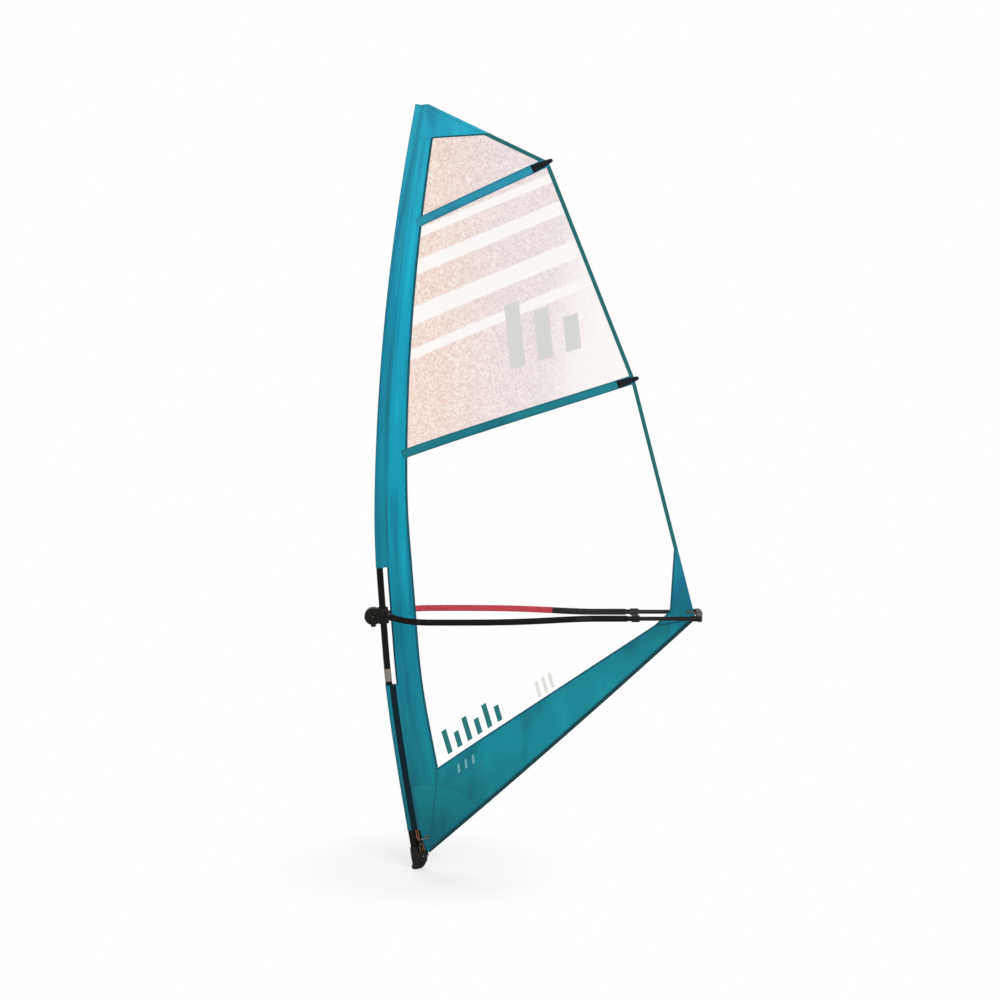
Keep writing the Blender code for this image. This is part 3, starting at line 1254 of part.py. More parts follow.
def build_arms(boom, tail):
    """Arms, their foam, the collars with locking clips, and the telescoping tail."""
    grip_radius = ARM_RADIUS + FIT + GRIP_WALL
    mouth = ARM_START_X + SOCKET_GRIP * math.cos(ARM_START_ANGLE)
    for side, word in ((-1, "port"), (1, "starboard")):
        path = arm_path(side)
        quick(f"boom_arm_{word}", lambda bm: pipe(bm, path_rings(path, ARM_RADIUS),
                                                  path_rings(path, ARM_RADIUS - ARM_WALL)),
              ALLOY, parent=boom)
        first = path[2].x + BOOM_POINT.x - 0.004
        spans = [(f"grip_{word}", first, GRIP_END_X, FOAM)]
        if side > 0:
            spans = [(f"grip_{word}_front", first, GRIP_BREAK_X, RED_FOAM),
                     (f"grip_{word}_rear", GRIP_BREAK_X + FIT, GRIP_END_X, FOAM)]
        for name, low, high, finish in spans:
            run = clip_path(path, max(low, mouth), high)
            quick(name, lambda bm: pipe(bm, path_rings(run, grip_radius),
                                        path_rings(run, ARM_RADIUS + FIT)), finish, parent=boom)
        build_clip(boom, side, word)

    tube_radius = ARM_RADIUS - ARM_WALL - FIT
    outer = ARM_RADIUS + FIT + ARM_COLLAR_WALL
    end = ARM_END_X - BOOM_POINT.x

    inner = tube_radius + FIT
    front = COLLAR_LIP - ARM_COLLAR_LENGTH
    profile = [(ARM_RADIUS + FIT, front), (outer - 0.0015, front), (outer, front + 0.0015),
               (outer, COLLAR_LIP - 0.003), (outer - 0.003, COLLAR_LIP), (inner, COLLAR_LIP), (inner, FIT),
               (ARM_RADIUS + FIT, FIT)]
    for side, word in ((-1, "port"), (1, "starboard")):
        ring = quick(f"arm_collar_{word}", lambda bm: turn(bm, profile, ARM_SIDES, closed=True),
                     parent=boom, location=(end, side * ARM_PARALLEL_HALF, 0), rotation=(0, math.pi / 2, 0))
        boolean(ring, quick(f"clip_lugs_{word}", lambda bm: clip_lugs(bm, side), parent=boom), 'UNION')
        x, y = clip_place(side)
        boolean(ring, quick(f"clip_pin_{word}", lambda bm: cylinder(
            bm, CLIP_PIN_RADIUS, -CLIP_HALF - 0.001, CLIP_HALF + 0.001, 10, 'Z', (x, y)),
                            parent=boom), 'UNION')

    build_tail(tail, tube_radius)


def clip_place(side):
    """Pivot of a locking clip: outboard of the collar's lip."""
    return ARM_END_X - BOOM_POINT.x + COLLAR_LIP - CLIP_SET_BACK, side * (
        ARM_PARALLEL_HALF + ARM_RADIUS + FIT + ARM_COLLAR_WALL + CLIP_STAND_OFF)


def clip_lugs(bm, side):
    """Upper and lower lug that hold a clip's pivot pin."""
    x, y = clip_place(side)
    inner = side * (ARM_PARALLEL_HALF + ARM_RADIUS + 0.002)
    low_y, high_y = sorted((inner, y + side * LUG_THICK))
    for low, high in ((CLIP_HALF + FIT, CLIP_HALF + LUG_THICK), (-CLIP_HALF - LUG_THICK, -CLIP_HALF - FIT)):
        box(bm, (x - LUG_REACH, low_y, low), (x + LUG_REACH, high_y, high))


def build_clip(boom, side, word):
    """A locking clip that swings out from the collar on an upright pin."""
    x, y = clip_place(side)
    half = CLIP_THICK / 2
    outline = arc(0, 0, CLIP_KNUCKLE, -60, 60, 4)
    outline += [(0, side * half), (-CLIP_LENGTH + CLIP_FINGER, side * half),
                (-CLIP_LENGTH, side * (half + 0.003)), (-CLIP_LENGTH, side * (half + 0.0008)),
                (-CLIP_LENGTH + CLIP_FINGER, -side * 0.0003), (0, -side * half)]
    if side < 0:
        outline = arc(0, 0, CLIP_KNUCKLE, 60, -60, 4) + outline[5:]
    clip = quick(f"collar_clip_{word}", lambda bm: prism(bm, outline, -CLIP_HALF, CLIP_HALF), ALLOY,
                 parent=boom, location=(x, y, 0))
    boolean(clip, quick(f"clip_bore_{word}", lambda bm: cylinder(
        bm, CLIP_PIN_RADIUS + FIT, -0.02, 0.02, 10), parent=boom, location=(x, y, 0)))


def build_tail(tail, tube_radius):
    """Two tubes bonded into the tail casting, with two rollers for the outhaul."""
    end = CASTING_LENGTH
    wide = ARM_PARALLEL_HALF + tube_radius + TAIL_SOCKET_WALL
    crown = [(end - CASTING_CROWN * (y / wide) ** 2, y) for y in [wide * (k / 6 - 1) for k in range(13)]]
    outline = [(0.0, wide), (0.0, -wide)] + crown
    body = quick("boom_tail", lambda bm: prism(bm, outline, -CASTING_HALF, CASTING_HALF), NYLON,
                 parent=tail)

    def sockets(bm):
        for side in (-1, 1):
            path = [Vector((x, side * ARM_PARALLEL_HALF, 0)) for x in (-CASTING_SOCKET, CASTING_BOND)]
            loft(bm, path_rings(path, tube_radius + TAIL_SOCKET_WALL, 16))

    def tubes(bm):
        start = ARM_END_X - TAIL_INSERT - CASTING_FRONT_X
        stop = -CASTING_SOCKET + CASTING_BOND
        for side in (-1, 1):
            path = [Vector((x, side * ARM_PARALLEL_HALF, 0)) for x in (start, stop)]
            bore = [path[0], path[1] - Vector((TAIL_SOCKET_WALL, 0, 0))]
            pipe(bm, path_rings(path, tube_radius), path_rings(bore, tube_radius - TAIL_WALL), blind=True)

    boolean(body, quick("tail_sockets", sockets, parent=tail), 'UNION')
    boolean(body, quick("tail_tubes", tubes, parent=tail), 'UNION')
    roller = ROLLER_SETBACK
    window = SLOT_OUTER + SLOT_PLAY
    floor = CASTING_HALF - CASTING_FLOOR
    boolean(body, quick("roller_window", lambda bm: box(
        bm, (-0.003, -window, -floor), (roller + SLOT_REACH + 0.001, window, 0.02)), parent=tail))
    boolean(body, quick("axle_hole", lambda bm: cylinder(
        bm, SHEAVE_HUB, -ROLLER_AXLE_HALF, ROLLER_AXLE_HALF, 12, 'Y', (roller, 0)), parent=tail))
    reach = ROLLER_AXLE_HALF - FIT
    quick("roller_axle", lambda bm: cylinder(bm, SHEAVE_HUB - FIT, -reach, reach, 12, 'Y', (roller, 0)),
          STEEL, parent=tail)
    for n, side in ((1, -1), (2, 1)):
        quick(f"outhaul_roller_{n}", sheave_mesh, ALLOY, parent=tail,
              location=(roller, side * SHEAVE_OFFSET, 0), rotation=(math.pi / 2, 0, 0))


def build_outhaul(tail):
    """One line from under the first roller through the clew ring and back round the second."""
    ring = Vector((clew_ring_place()[0], 0, clew_ring_place()[1]))
    top = Vector((ROLLER_X, 0, BOOM_Z + ROPE_TRACK))
    turn_x = ring.x + RING_HOLE - ROPE_RADIUS - FIT
    clear = RING_THICK / 2 + ROPE_RADIUS + 2 * FIT
    bend = Vector((turn_x + 0.0050, 0, ring.z - 0.001))

    def half(side):
        points = [Vector((turn_x, side * 0.6 * clear, ring.z)),
                  Vector((turn_x + 0.0013, side * clear, ring.z)),
                  Vector((bend.x, side * (clear + 2 * FIT), bend.z))]
        for share in (0.35, 0.75):
            spot = bend.lerp(top, share)
            points.append(Vector((spot.x, side * SHEAVE_OFFSET, spot.z)))
        points += around(ROLLER_X, BOOM_Z, side * SHEAVE_OFFSET, 78, -90, 5)
        below = BOOM_Z - ROPE_TRACK
        return points + [Vector((ROLLER_X - 0.008, side * SHEAVE_OFFSET, below + 0.0006)),
                         Vector((ROLLER_X - 0.018, side * SHEAVE_OFFSET, below + 0.0008))]

    def line(bm):
        points = half(-1)[::-1] + [Vector((turn_x, 0, ring.z))] + half(1)
        rope(bm, [p - Vector((CASTING_FRONT_X, 0, BOOM_Z)) for p in points], 8, 2)

    quick("outhaul_line", line, ROPE, parent=tail)


def main():
    """Build the whole rig."""
    clear_scene()
    foot = empty("foot_frame", lean=FOOT_LEAN)
    boom = empty("boom_frame", BOOM_POINT)
    head = empty("head_frame", lean=GRIP_LEAN, parent=boom)
    tail = empty("tail_frame", (CASTING_FRONT_X - BOOM_POINT.x, 0, 0), parent=boom)
    build_mast()
    build_foot(foot)
    build_tack(foot)
    build_sail()
    build_boom_head(boom, head)
    build_arms(boom, tail)
    build_outhaul(tail)


main()
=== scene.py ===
"""Windsurf rig, dressed for the camera.

The mast, boom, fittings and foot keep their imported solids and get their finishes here. The
sail's cloth and film, the foam grips and the ropes are new surfaces, worked out with numpy
from the same few sizes as the solids. Metres, +Z up, +X aft, +Y starboard.
"""
import logging
import math
from dataclasses import dataclass
from enum import Enum
from functools import reduce
from typing import Any, Callable, Mapping, Sequence, Union

import bmesh
import bpy
import numpy as np
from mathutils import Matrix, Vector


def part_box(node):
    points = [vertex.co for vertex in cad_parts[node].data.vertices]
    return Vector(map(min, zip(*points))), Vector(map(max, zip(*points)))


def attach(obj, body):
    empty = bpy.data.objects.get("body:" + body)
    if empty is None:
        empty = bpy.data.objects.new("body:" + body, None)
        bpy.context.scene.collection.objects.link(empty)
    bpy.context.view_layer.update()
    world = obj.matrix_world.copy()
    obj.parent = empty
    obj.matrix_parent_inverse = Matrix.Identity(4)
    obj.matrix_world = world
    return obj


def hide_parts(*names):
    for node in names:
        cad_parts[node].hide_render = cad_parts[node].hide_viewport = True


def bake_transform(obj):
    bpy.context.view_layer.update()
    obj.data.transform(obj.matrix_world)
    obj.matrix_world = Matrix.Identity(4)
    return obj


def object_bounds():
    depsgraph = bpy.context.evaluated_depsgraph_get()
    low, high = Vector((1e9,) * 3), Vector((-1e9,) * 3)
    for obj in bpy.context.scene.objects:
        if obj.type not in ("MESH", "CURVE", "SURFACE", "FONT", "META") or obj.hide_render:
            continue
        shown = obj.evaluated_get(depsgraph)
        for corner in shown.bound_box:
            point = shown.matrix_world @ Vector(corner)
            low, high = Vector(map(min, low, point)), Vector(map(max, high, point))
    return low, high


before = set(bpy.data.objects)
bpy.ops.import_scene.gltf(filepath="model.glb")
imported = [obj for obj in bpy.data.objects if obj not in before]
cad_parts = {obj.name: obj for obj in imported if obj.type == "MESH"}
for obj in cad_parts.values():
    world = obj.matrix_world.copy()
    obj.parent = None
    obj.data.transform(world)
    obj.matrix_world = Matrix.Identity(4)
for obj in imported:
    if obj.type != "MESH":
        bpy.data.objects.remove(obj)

PACKED_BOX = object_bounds()
LOG = logging.getLogger("rig")

Array = np.ndarray
Point = tuple[float, float]
Triple = tuple[float, float, float]
Line = tuple[Point, Point]
Colour = tuple[float, float, float, float]
Number = Union["Signal", float]
Values = Mapping[Any, Any] | None
Piece = bpy.types.Object
Material = bpy.types.Material


def dye(red: int, green: int, blue: int) -> Colour:
    """Turn a colour as seen on a screen, 0 to 255, into a shader's linear colour."""
    seen = np.array((red, green, blue)) / 255.0
    linear = np.where(seen <= 0.04045, seen / 12.92, ((seen + 0.055) / 1.055) ** 2.4)
    return (*map(float, linear), 1.0)


def tones(*rows: tuple[float, int, int, int]) -> tuple[tuple[float, Colour], ...]:
    """Colours by height, from rows of a height and a colour as seen on a screen; on the cloths the change
    with height is painted shading, darker low down.
    """
    return tuple((height, dye(*seen)) for height, *seen in rows)


# Shader maths


def operation(kind: str) -> Callable[..., "Signal"]:
    """A method of signals that adds one Math node of this kind."""
    def method(signal: "Signal", *others: Number) -> "Signal":
        return signal.graph.math(kind, signal, *others)

    return method


class Signal:
    """A shader socket that Python arithmetic works on; each operator adds one Math node."""

    __add__ = operation("ADD")
    __sub__ = operation("SUBTRACT")
    __mul__ = operation("MULTIPLY")
    __mod__ = operation("FLOORED_MODULO")
    __abs__ = operation("ABSOLUTE")
    sine = operation("SINE")
    most = operation("MAXIMUM")

    def __init__(self, graph: "Graph", socket: bpy.types.NodeSocket) -> None:
        """Keep the graph and the output socket that carries the value."""
        self.graph = graph
        self.socket = socket

    def rise(self, low: float, high: float) -> "Signal":
        """Smooth step: 0 up to low, 1 from high on, or falling where low is the larger."""
        start, end, first, last = (low, high, 0.0, 1.0) if low < high else (high, low, 1.0, 0.0)
        return self.graph.signal("ShaderNodeMapRange", {"interpolation_type": "SMOOTHSTEP"},
                                 {"Value": self, "From Min": start, "From Max": end,
                                  "To Min": first, "To Max": last})

    def inside(self, low: float, high: float, soft: float) -> "Signal":
        """1 between low and high, with edges of width soft."""
        return self.rise(low - soft, low) * self.rise(high + soft, high)


class Graph:
    """The nodes of one material, or of the world."""

    def __init__(self, owner: bpy.types.ID) -> None:
        """Start with no nodes."""
        owner.use_nodes = True
        self.owner = owner
        self.tree = owner.node_tree
        self.tree.nodes.clear()

    def node(self, kind: str, settings: Values = None, sockets: Values = None) -> bpy.types.Node:
        """Add a node.

        Args:
            kind: the node's type.
            settings: its properties, set first; "stops" fills a colour ramp.
            sockets: values or Signals for its inputs, by name or number.

        Returns:
            The new node.
        """
        made = self.tree.nodes.new(kind)
        for word, value in (settings or {}).items():
            if word == "stops":
                ramp = made.color_ramp.elements
                for spare in range(len(value) - len(ramp)):
                    ramp.new(0.5 + spare * 0.01)
                for stop, (place, colour) in zip(ramp, value):
                    stop.position = place
                    stop.color = colour
            else:
                setattr(made, word, value)
        for key, value in (sockets or {}).items():
            if isinstance(value, Signal):
                self.tree.links.new(value.socket, made.inputs[key])
            elif value is not None:
                made.inputs[key].default_value = value
        return made

    def outputs(self, node: bpy.types.Node, *keys: Any) -> tuple[Signal, ...]:
        """Some outputs of a node, by name or number."""
        return tuple(Signal(self, node.outputs[key]) for key in keys)

    def signal(self, kind: str, settings: Values = None, sockets: Values = None,
               output: Any = 0) -> Signal:
        """Add a node and take one of its outputs."""
        return self.outputs(self.node(kind, settings, sockets), output)[0]

    def math(self, kind: str, *values: Number) -> Signal:
        """Add a Math node on numbers."""
        return self.signal("ShaderNodeMath", {"operation": kind}, dict(enumerate(values)))

    def split(self, vector: Signal) -> tuple[Signal, ...]:
        """The three parts of a vector or a colour."""
        return self.outputs(self.node("ShaderNodeSeparateXYZ", sockets={0: vector}), 0, 1, 2)

    def place(self) -> tuple[Signal, ...]:
        """Object coordinates, as x, y, z and the whole vector."""
        whole = self.signal("ShaderNodeTexCoord", output="Object")
        return (*self.split(whole), whole)

    def along(self, name: str) -> tuple[Signal, ...]:
        """A piece's own UV map, as across and along."""
        return self.split(self.signal("ShaderNodeUVMap", {"uv_map": name}))[:2]

    def noise(self, vector: Signal, scale: float | Sequence[float], detail: float,
              rough: float = 0.5) -> Signal:
        """Smooth noise between 0 and 1, with one scale or one for each direction."""
        if not isinstance(scale, float):
            vector = self.signal("ShaderNodeVectorMath", {"operation": "MULTIPLY"}, {0: vector, 1: scale})
            scale = 1.0
        return self.signal("ShaderNodeTexNoise", None,
                           {"Vector": vector, "Scale": scale, "Detail": detail, "Roughness": rough})

    def closed(self, kind: str, shader: Signal) -> bpy.types.ID:
        """Lead a shader to the output, and give back what the nodes belong to."""
        self.node(f"ShaderNodeOutput{kind}", None, {"Surface": shader})
        return self.owner

    def cells(self, vector: Signal, scale: float, output: str) -> Signal:
        """Random cells: the distance from a cell's point, or the cell's own colour."""
        return self.signal("ShaderNodeTexVoronoi", None, {"Vector": vector, "Scale": scale}, output)

    def blend(self, share: Number, first: Any, second: Any) -> Signal:
        """Mix two colours; a share of 1 gives the second."""
        return self.signal("ShaderNodeMix", {"data_type": "RGBA", "clamp_factor": True},
                           {0: share, 6: first, 7: second}, 2)

    def tinted(self, colour: Signal, tint: Sequence[float]) -> Signal:
        """A colour with each of its parts multiplied."""
        return self.signal("ShaderNodeMix", {"data_type": "RGBA", "blend_type": "MULTIPLY"},
                           {0: 1.0, 6: colour, 7: (*tint, 1.0)}, 2)

    def bump(self, height: Signal, depth: float, strength: float, under: Signal | None = None) -> Signal:
        """A normal, or one more on top of another, bent by a height that stands for depth in metres."""
        return self.signal("ShaderNodeBump", None, {"Height": height, "Distance": depth,
                                                    "Strength": strength, "Normal": under})

    def finished(self, base: Any, roughness: Number, normal: Signal, alpha: Signal | None = None,
                 **constants: Any) -> Material:
        """Close the material with a Principled shader.

        Args:
            base: base colour, a constant or a Signal.
            roughness: a constant or a Signal.
            normal: a bent normal.
            alpha: coverage, if it varies.
            constants: other inputs by name, with underscores for spaces.

        Returns:
            The finished material.
        """
        named = {key.replace("_", " "): value for key, value in constants.items()}
        shader = self.signal("ShaderNodeBsdfPrincipled", None, {
            "Base Color": base, "Roughness": roughness, "Normal": normal, "Alpha": alpha, **named})
        return self.closed("Material", shader)


# Finishes


@dataclass(frozen=True)
class Finish:
    """A material that is made once and shared."""

    name: str

    def paint(self, graph: Graph) -> Material:
        """Fill the material's empty nodes; each kind of finish has its own."""
        raise NotImplementedError

    def material(self) -> Material:
        """The finish's material, made on first use."""
        made = bpy.data.materials.get(self.name)
        return made or self.paint(Graph(bpy.data.materials.new(self.name)))


@dataclass(frozen=True)
class Dyed(Finish):
    """A finish of one main colour."""

    colour: Colour

    def toned(self, factor: float, lift: float = 0.0) -> Colour:
        """A darker or paler colour: each part times factor and plus lift, up to 1."""
        return (*(min(1.0, part * factor + lift) for part in self.colour[:3]), 1.0)


@dataclass(frozen=True)
class SailCloth(Finish):
    """Woven polyester with a fill coat: threads, tone by height that paints shading darker low down, soft
    creases and drift.
    """

    tones: tuple[tuple[float, Colour], ...]
    edge_shade: float = 0.30
    streak: float = 0.5
    lane: float = 30.0
    thread: float = 0.0011
    grid: float = 0.006
    grid_line: float = 0.0005
    rough: float = 0.5
    marked: bool = False
    fore_shade: float = 0.0
    fore_across: Point = (0.075, 0.015)
    fore_up: Point = (1.75, 1.45)
    ramp_top: float = 3.8
    deep_tint: Triple = (0.90, 0.60, 0.66)
    pale_tint: Triple = (1.25, 1.32, 1.24)
    sway_rate: float = 3.1
    sway_reach: float = 0.008
    streak_gain: float = 2.6
    drift_scale: Triple = (5.0, 5.0, 1.6)
    drift_gain: float = 1.8
    shade_range: Point = (0.04, 0.26)
    shade_share: float = 0.75
    edge_width: float = 0.014
    crease_scale: Triple = (14.0, 14.0, 34.0)
    crease_depth: float = 0.0022
    weave_depth: float = 0.00012

    def paint(self, graph: Graph) -> Material:
        """Base colour from height, painted as shading darker low down, then streaks and drift; bump from the
        weave and creases.
        """
        x, _, z, spot = graph.place()
        across, along = graph.along("cloth")
        from_edge, _ = graph.along("seam")
        # painted shading: the ramp by height darkens the cloth low down and pales it high up, as light from
        # above would
        stops = [(height / self.ramp_top, tone) for height, tone in self.tones]
        colour = graph.signal("ShaderNodeValToRGB", {"stops": stops}, {0: z * (1.0 / self.ramp_top)})
        deep = graph.tinted(colour, self.deep_tint)
        pale = graph.tinted(colour, self.pale_tint)
        sway = across + (along * self.sway_rate).sine() * self.sway_reach
        lanes = graph.signal("ShaderNodeCombineXYZ", None, {0: sway * self.lane, 1: along * 1.1})
        streaks = graph.noise(lanes, 1.0, 1.6, 0.45)
        drift = graph.noise(spot, self.drift_scale, 3.0)
        shade = ((streaks - 0.5) * (self.streak_gain * self.streak)
                 + (drift - 0.5) * (self.drift_gain * (1.0 - self.streak)))
        low, high = self.shade_range
        colour = graph.blend(shade.rise(low, high) * self.shade_share, colour, pale)
        colour = graph.blend(shade.rise(-low, -high) * self.shade_share, colour, deep)
        colour = graph.blend(from_edge.rise(self.edge_width, 0.0) * self.edge_shade, colour, deep)
        if self.fore_shade:
            fore = across.rise(*self.fore_across) * z.rise(*self.fore_up)
            colour = graph.blend(fore * self.fore_shade, colour, deep)
        warp, weft = ((way * (math.tau / self.thread)).sine() for way in (across, along))
        weave = warp * weft * 0.25 + 0.5
        half = self.grid / 2
        ripstop = reduce(Signal.most, [abs(way % self.grid - half).rise(half - self.grid_line, half)
                                       for way in (across, along)])
        colour = graph.blend(weave * 0.16 + ripstop * 0.12, colour, deep)
        if self.marked:
            colour = graph.blend(FOOT_MARKS.mask(x, z) * FOOT_MARKS.cover, colour, FOOT_MARKS.ink)
        crease = graph.noise(spot, self.crease_scale, 4.0, 0.6)
        body = graph.bump(crease * 0.6 + streaks * 0.4, self.crease_depth, 0.5)
        normal = graph.bump(weave + ripstop * 0.6, self.weave_depth, 0.6, body)
        rough = crease * 0.12 + (self.rough - 0.06)
        return graph.finished(colour, rough, normal, Specular_IOR_Level=0.10)


@dataclass(frozen=True)
class EdgeCloth(Dyed):
    """Plain woven tape with a rib along it."""

    rib: float = 0.0016
    rough: float = 0.62

    def paint(self, graph: Graph) -> Material:
        """Ribs across the tape, and a little uneven dye."""
        *_, spot = graph.place()
        across, along = graph.along("cloth")
        rib = (along * (math.tau / self.rib)).sine() * 0.5 + 0.5
        warp = (across * (math.tau / (self.rib * 0.75))).sine() * 0.5 + 0.5
        drift = graph.noise(spot, 16.0, 3.0)
        colour = graph.blend(rib * 0.25 + drift * 0.35, self.colour, self.toned(0.6))
        normal = graph.bump(rib * 0.6 + warp * 0.4, 0.0002, 0.6)
        return graph.finished(colour, drift * 0.15 + (self.rough - 0.07), normal,
                              Specular_IOR_Level=0.10)


class Print(Enum):
    """What is printed on a window."""

    NONE = "clear"
    FULL = "speckle all over"
    BANDS = "speckle in straight bands"


@dataclass(frozen=True)
class MarkRow:
    """A row of plain slanted bars on the sail, laid out from one corner."""

    corner: Point
    slope: float
    lengths: tuple[float, ...]
    width: float
    pitch: float
    slant: float
    ink: Colour
    cover: float
    soft: float = 0.0012

    def mask(self, x: Signal, z: Signal) -> Signal:
        """1 on a bar: along and above the row's base line, each bar sheared by slant."""
        size = math.hypot(1.0, self.slope)
        run = ((x - self.corner[0]) + (z - self.corner[1]) * self.slope) * (1.0 / size)
        up = ((z - self.corner[1]) - (x - self.corner[0]) * self.slope) * (1.0 / size)
        run = run - up * self.slant
        starts = np.arange(len(self.lengths)) * self.pitch
        return reduce(Signal.most, [run.inside(start, start + self.width, self.soft)
                                    * up.inside(0.0, length, self.soft)
                                    for start, length in zip(starts.tolist(), self.lengths)])


FOOT_MARKS = MarkRow((0.200, 0.470), 0.66, (0.034,) * 3, 0.009, 0.042, 0.5,
                     dye(120, 176, 186), 0.75, 0.004)
TEAL_BARS = MarkRow((0.150, 0.560), 0.66, (0.110, 0.072) * 3, 0.026, 0.058, 0.30,
                    dye(36, 116, 118), 0.95)
PALE_BARS = MarkRow((0.590, 0.845), 0.66, (0.070,) * 3, 0.016, 0.038, 0.30,
                    dye(234, 234, 228), 0.8, 0.003)
GREY_BARS = MarkRow((0.455, 2.440), 0.33, (0.300, 0.230, 0.160), 0.070, 0.140, 0.22,
                    dye(222, 222, 217), 0.90, 0.005)


@dataclass(frozen=True)
class Film(Finish):
    """Clear sail film, bare or printed with a fine speckle of three inks."""

    printed: Print = Print.NONE
    haze: float = 0.004
    cell: float = 0.0085
    gaps: tuple[Point, ...] = ((2.520, 0.022), (2.700, 0.040), (2.925, 0.030), (3.085, 0.018))
    gap_slope: float = 0.42
    gap_soft: float = 0.008
    gap_cover: float = 0.92
    fade_reach: Point = (0.80, 0.20)
    full_cover: float = 0.90
    thin_cover: float = 0.45
    warm: tuple[Colour, Colour] = (dye(238, 210, 198), dye(247, 228, 217))
    cool: tuple[Colour, Colour] = (dye(234, 221, 225), dye(246, 234, 233))
    cream: Colour = dye(253, 245, 241)
    speck: Colour = dye(224, 202, 196)
    white: Colour = dye(253, 250, 247)
    bare: Colour = dye(252, 253, 253)
    ripple_scale: Triple = (3.0, 3.0, 5.0)
    ripple_depth: float = 0.006
    scuff_scale: Triple = (60.0, 60.0, 9.0)

    def speckle(self, graph: Graph, x: Signal, spot: Signal) -> Signal:
        """Colour of the speckle: small cells of salmon, lilac and cream, cooler further aft."""
        pick, shade, _ = graph.split(graph.cells(spot, 1.0 / self.cell, "Color"))
        aft = x.rise(0.0, 0.55)
        salmon = pick.rise(0.30, 0.42)
        warm, cool = (graph.blend(salmon, *pair) for pair in (self.warm, self.cool))
        colour = graph.blend(aft, warm, cool)
        colour = graph.blend(shade.rise(0.86, 0.92), colour, self.cream)
        fine = graph.noise(spot, 260.0, 2.0)
        return graph.blend(fine.rise(0.60, 0.72) * 0.5, colour, self.speck)

    def bands(self, x: Signal, z: Signal) -> Signal:
        """1 where the straight bands lie: they run with the battens and fade towards the leech."""
        up = z - x * self.gap_slope
        fade = (x - z * 0.10).rise(*self.fade_reach)
        gaps = [abs(up - middle).rise(half, half + self.gap_soft) for middle, half in self.gaps]
        return fade * (reduce(Signal.__mul__, gaps) * 0.9 + 0.1)

    def paint(self, graph: Graph) -> Material:
        """A glossy sheet whose ink and haze decide how much shows through."""
        x, _, z, spot = graph.place()
        from_edge, _ = graph.along("seam")
        haze = graph.noise(spot, 3.0, 3.0) * 0.012 + self.haze
        if self.printed is Print.FULL:
            colour = self.speckle(graph, x, spot)
            alpha = haze + self.full_cover
        elif self.printed is Print.BANDS:
            ink, grey = self.bands(x, z), GREY_BARS.mask(x, z)
            colour = graph.blend(ink, self.white, self.speckle(graph, x, spot))
            colour = graph.blend(grey, colour, GREY_BARS.ink)
            alpha = (haze + self.thin_cover).most(ink * self.gap_cover).most(grey * GREY_BARS.cover)
        else:
            teal, pale = TEAL_BARS.mask(x, z), PALE_BARS.mask(x, z)
            colour = graph.blend(pale, self.bare, PALE_BARS.ink)
            colour = graph.blend(teal, colour, TEAL_BARS.ink)
            alpha = haze.most(teal * TEAL_BARS.cover).most(pale * PALE_BARS.cover)
        alpha = alpha.most(from_edge.rise(0.006, 0.002) * 0.5)
        ripple = graph.noise(spot, self.ripple_scale, 2.0)
        scuff = graph.noise(spot, self.scuff_scale, 4.0, 0.7)
        normal = graph.bump(ripple, self.ripple_depth, 0.35)
        return graph.finished(colour, scuff * 0.16 + 0.10, normal, alpha, Specular_IOR_Level=0.15)


@dataclass(frozen=True)
class Moulding(Dyed):
    """Injection-moulded plastic or rubber: fine grain, faint flow marks, scuffs."""

    rough: float = 0.45
    grain: float = 900.0
    scuff: float = 0.35

    def paint(self, graph: Graph) -> Material:
        """Spark-eroded grain in the bump, pale rubbed spots in the colour."""
        *_, spot = graph.place()
        grain = graph.noise(spot, self.grain, 2.0)
        cloud = graph.noise(spot, 38.0, 4.0, 0.65)
        rub = cloud.rise(0.56, 0.74) * self.scuff
        colour = graph.blend(rub, self.colour, self.toned(1.9, 0.012))
        normal = graph.bump(grain * 0.7 + cloud * 0.3, 0.00008, 0.6)
        return graph.finished(colour, rub * 0.18 + cloud * 0.10 + (self.rough - 0.05), normal,
                              Specular_IOR_Level=0.16)


@dataclass(frozen=True)
class MastTube(Dyed):
    """Wound composite under clear resin: fine winding lines, satin with long scratches."""

    lines_up: float = 420.0
    lines_round: float = 900.0
    scratches: Triple = (700.0, 700.0, 12.0)

    def paint(self, graph: Graph) -> Material:
        """Crossed winding lines from height and the way round, and lengthwise scratches."""
        x, y, z, spot = graph.place()
        lean = z * self.lines_up
        turn = graph.math("ARCTAN2", y, x + 0.5) * self.lines_round
        weave = (lean + turn).sine() * (lean - turn).sine() * 0.5 + 0.5
        scratch = graph.noise(spot, self.scratches, 3.0)
        marks = scratch.rise(0.62, 0.78)
        colour = graph.blend(weave * 0.35 + marks * 0.4, self.colour, self.toned(1.8, 0.004))
        normal = graph.bump(weave * 0.5 + scratch * 0.5, 0.00005, 0.5)
        return graph.finished(colour, marks * 0.2 + weave * 0.06 + 0.30, normal,
                              Coat_Weight=0.03, Coat_Roughness=0.12, Specular_IOR_Level=0.08)


@dataclass(frozen=True)
class Metal(Dyed):
    """Steel or anodised alloy with fine drawing lines."""

    rough: float
    metallic: float
    gloss: float = 0.5
    grooves: Triple = (60.0, 900.0, 900.0)

    def paint(self, graph: Graph) -> Material:
        """Lines along one direction in roughness and bump, small rubbed places."""
        *_, spot = graph.place()
        lines = graph.noise(spot, self.grooves, 3.0)
        cloud = graph.noise(spot, 30.0, 4.0, 0.6)
        colour = graph.blend(cloud.rise(0.58, 0.72) * 0.35, self.colour, self.toned(1.7, 0.02))
        normal = graph.bump(lines, 0.00004, 0.5)
        return graph.finished(colour, lines * 0.14 + cloud * 0.08 + (self.rough - 0.10), normal,
                              Metallic=self.metallic, Specular_IOR_Level=self.gloss)


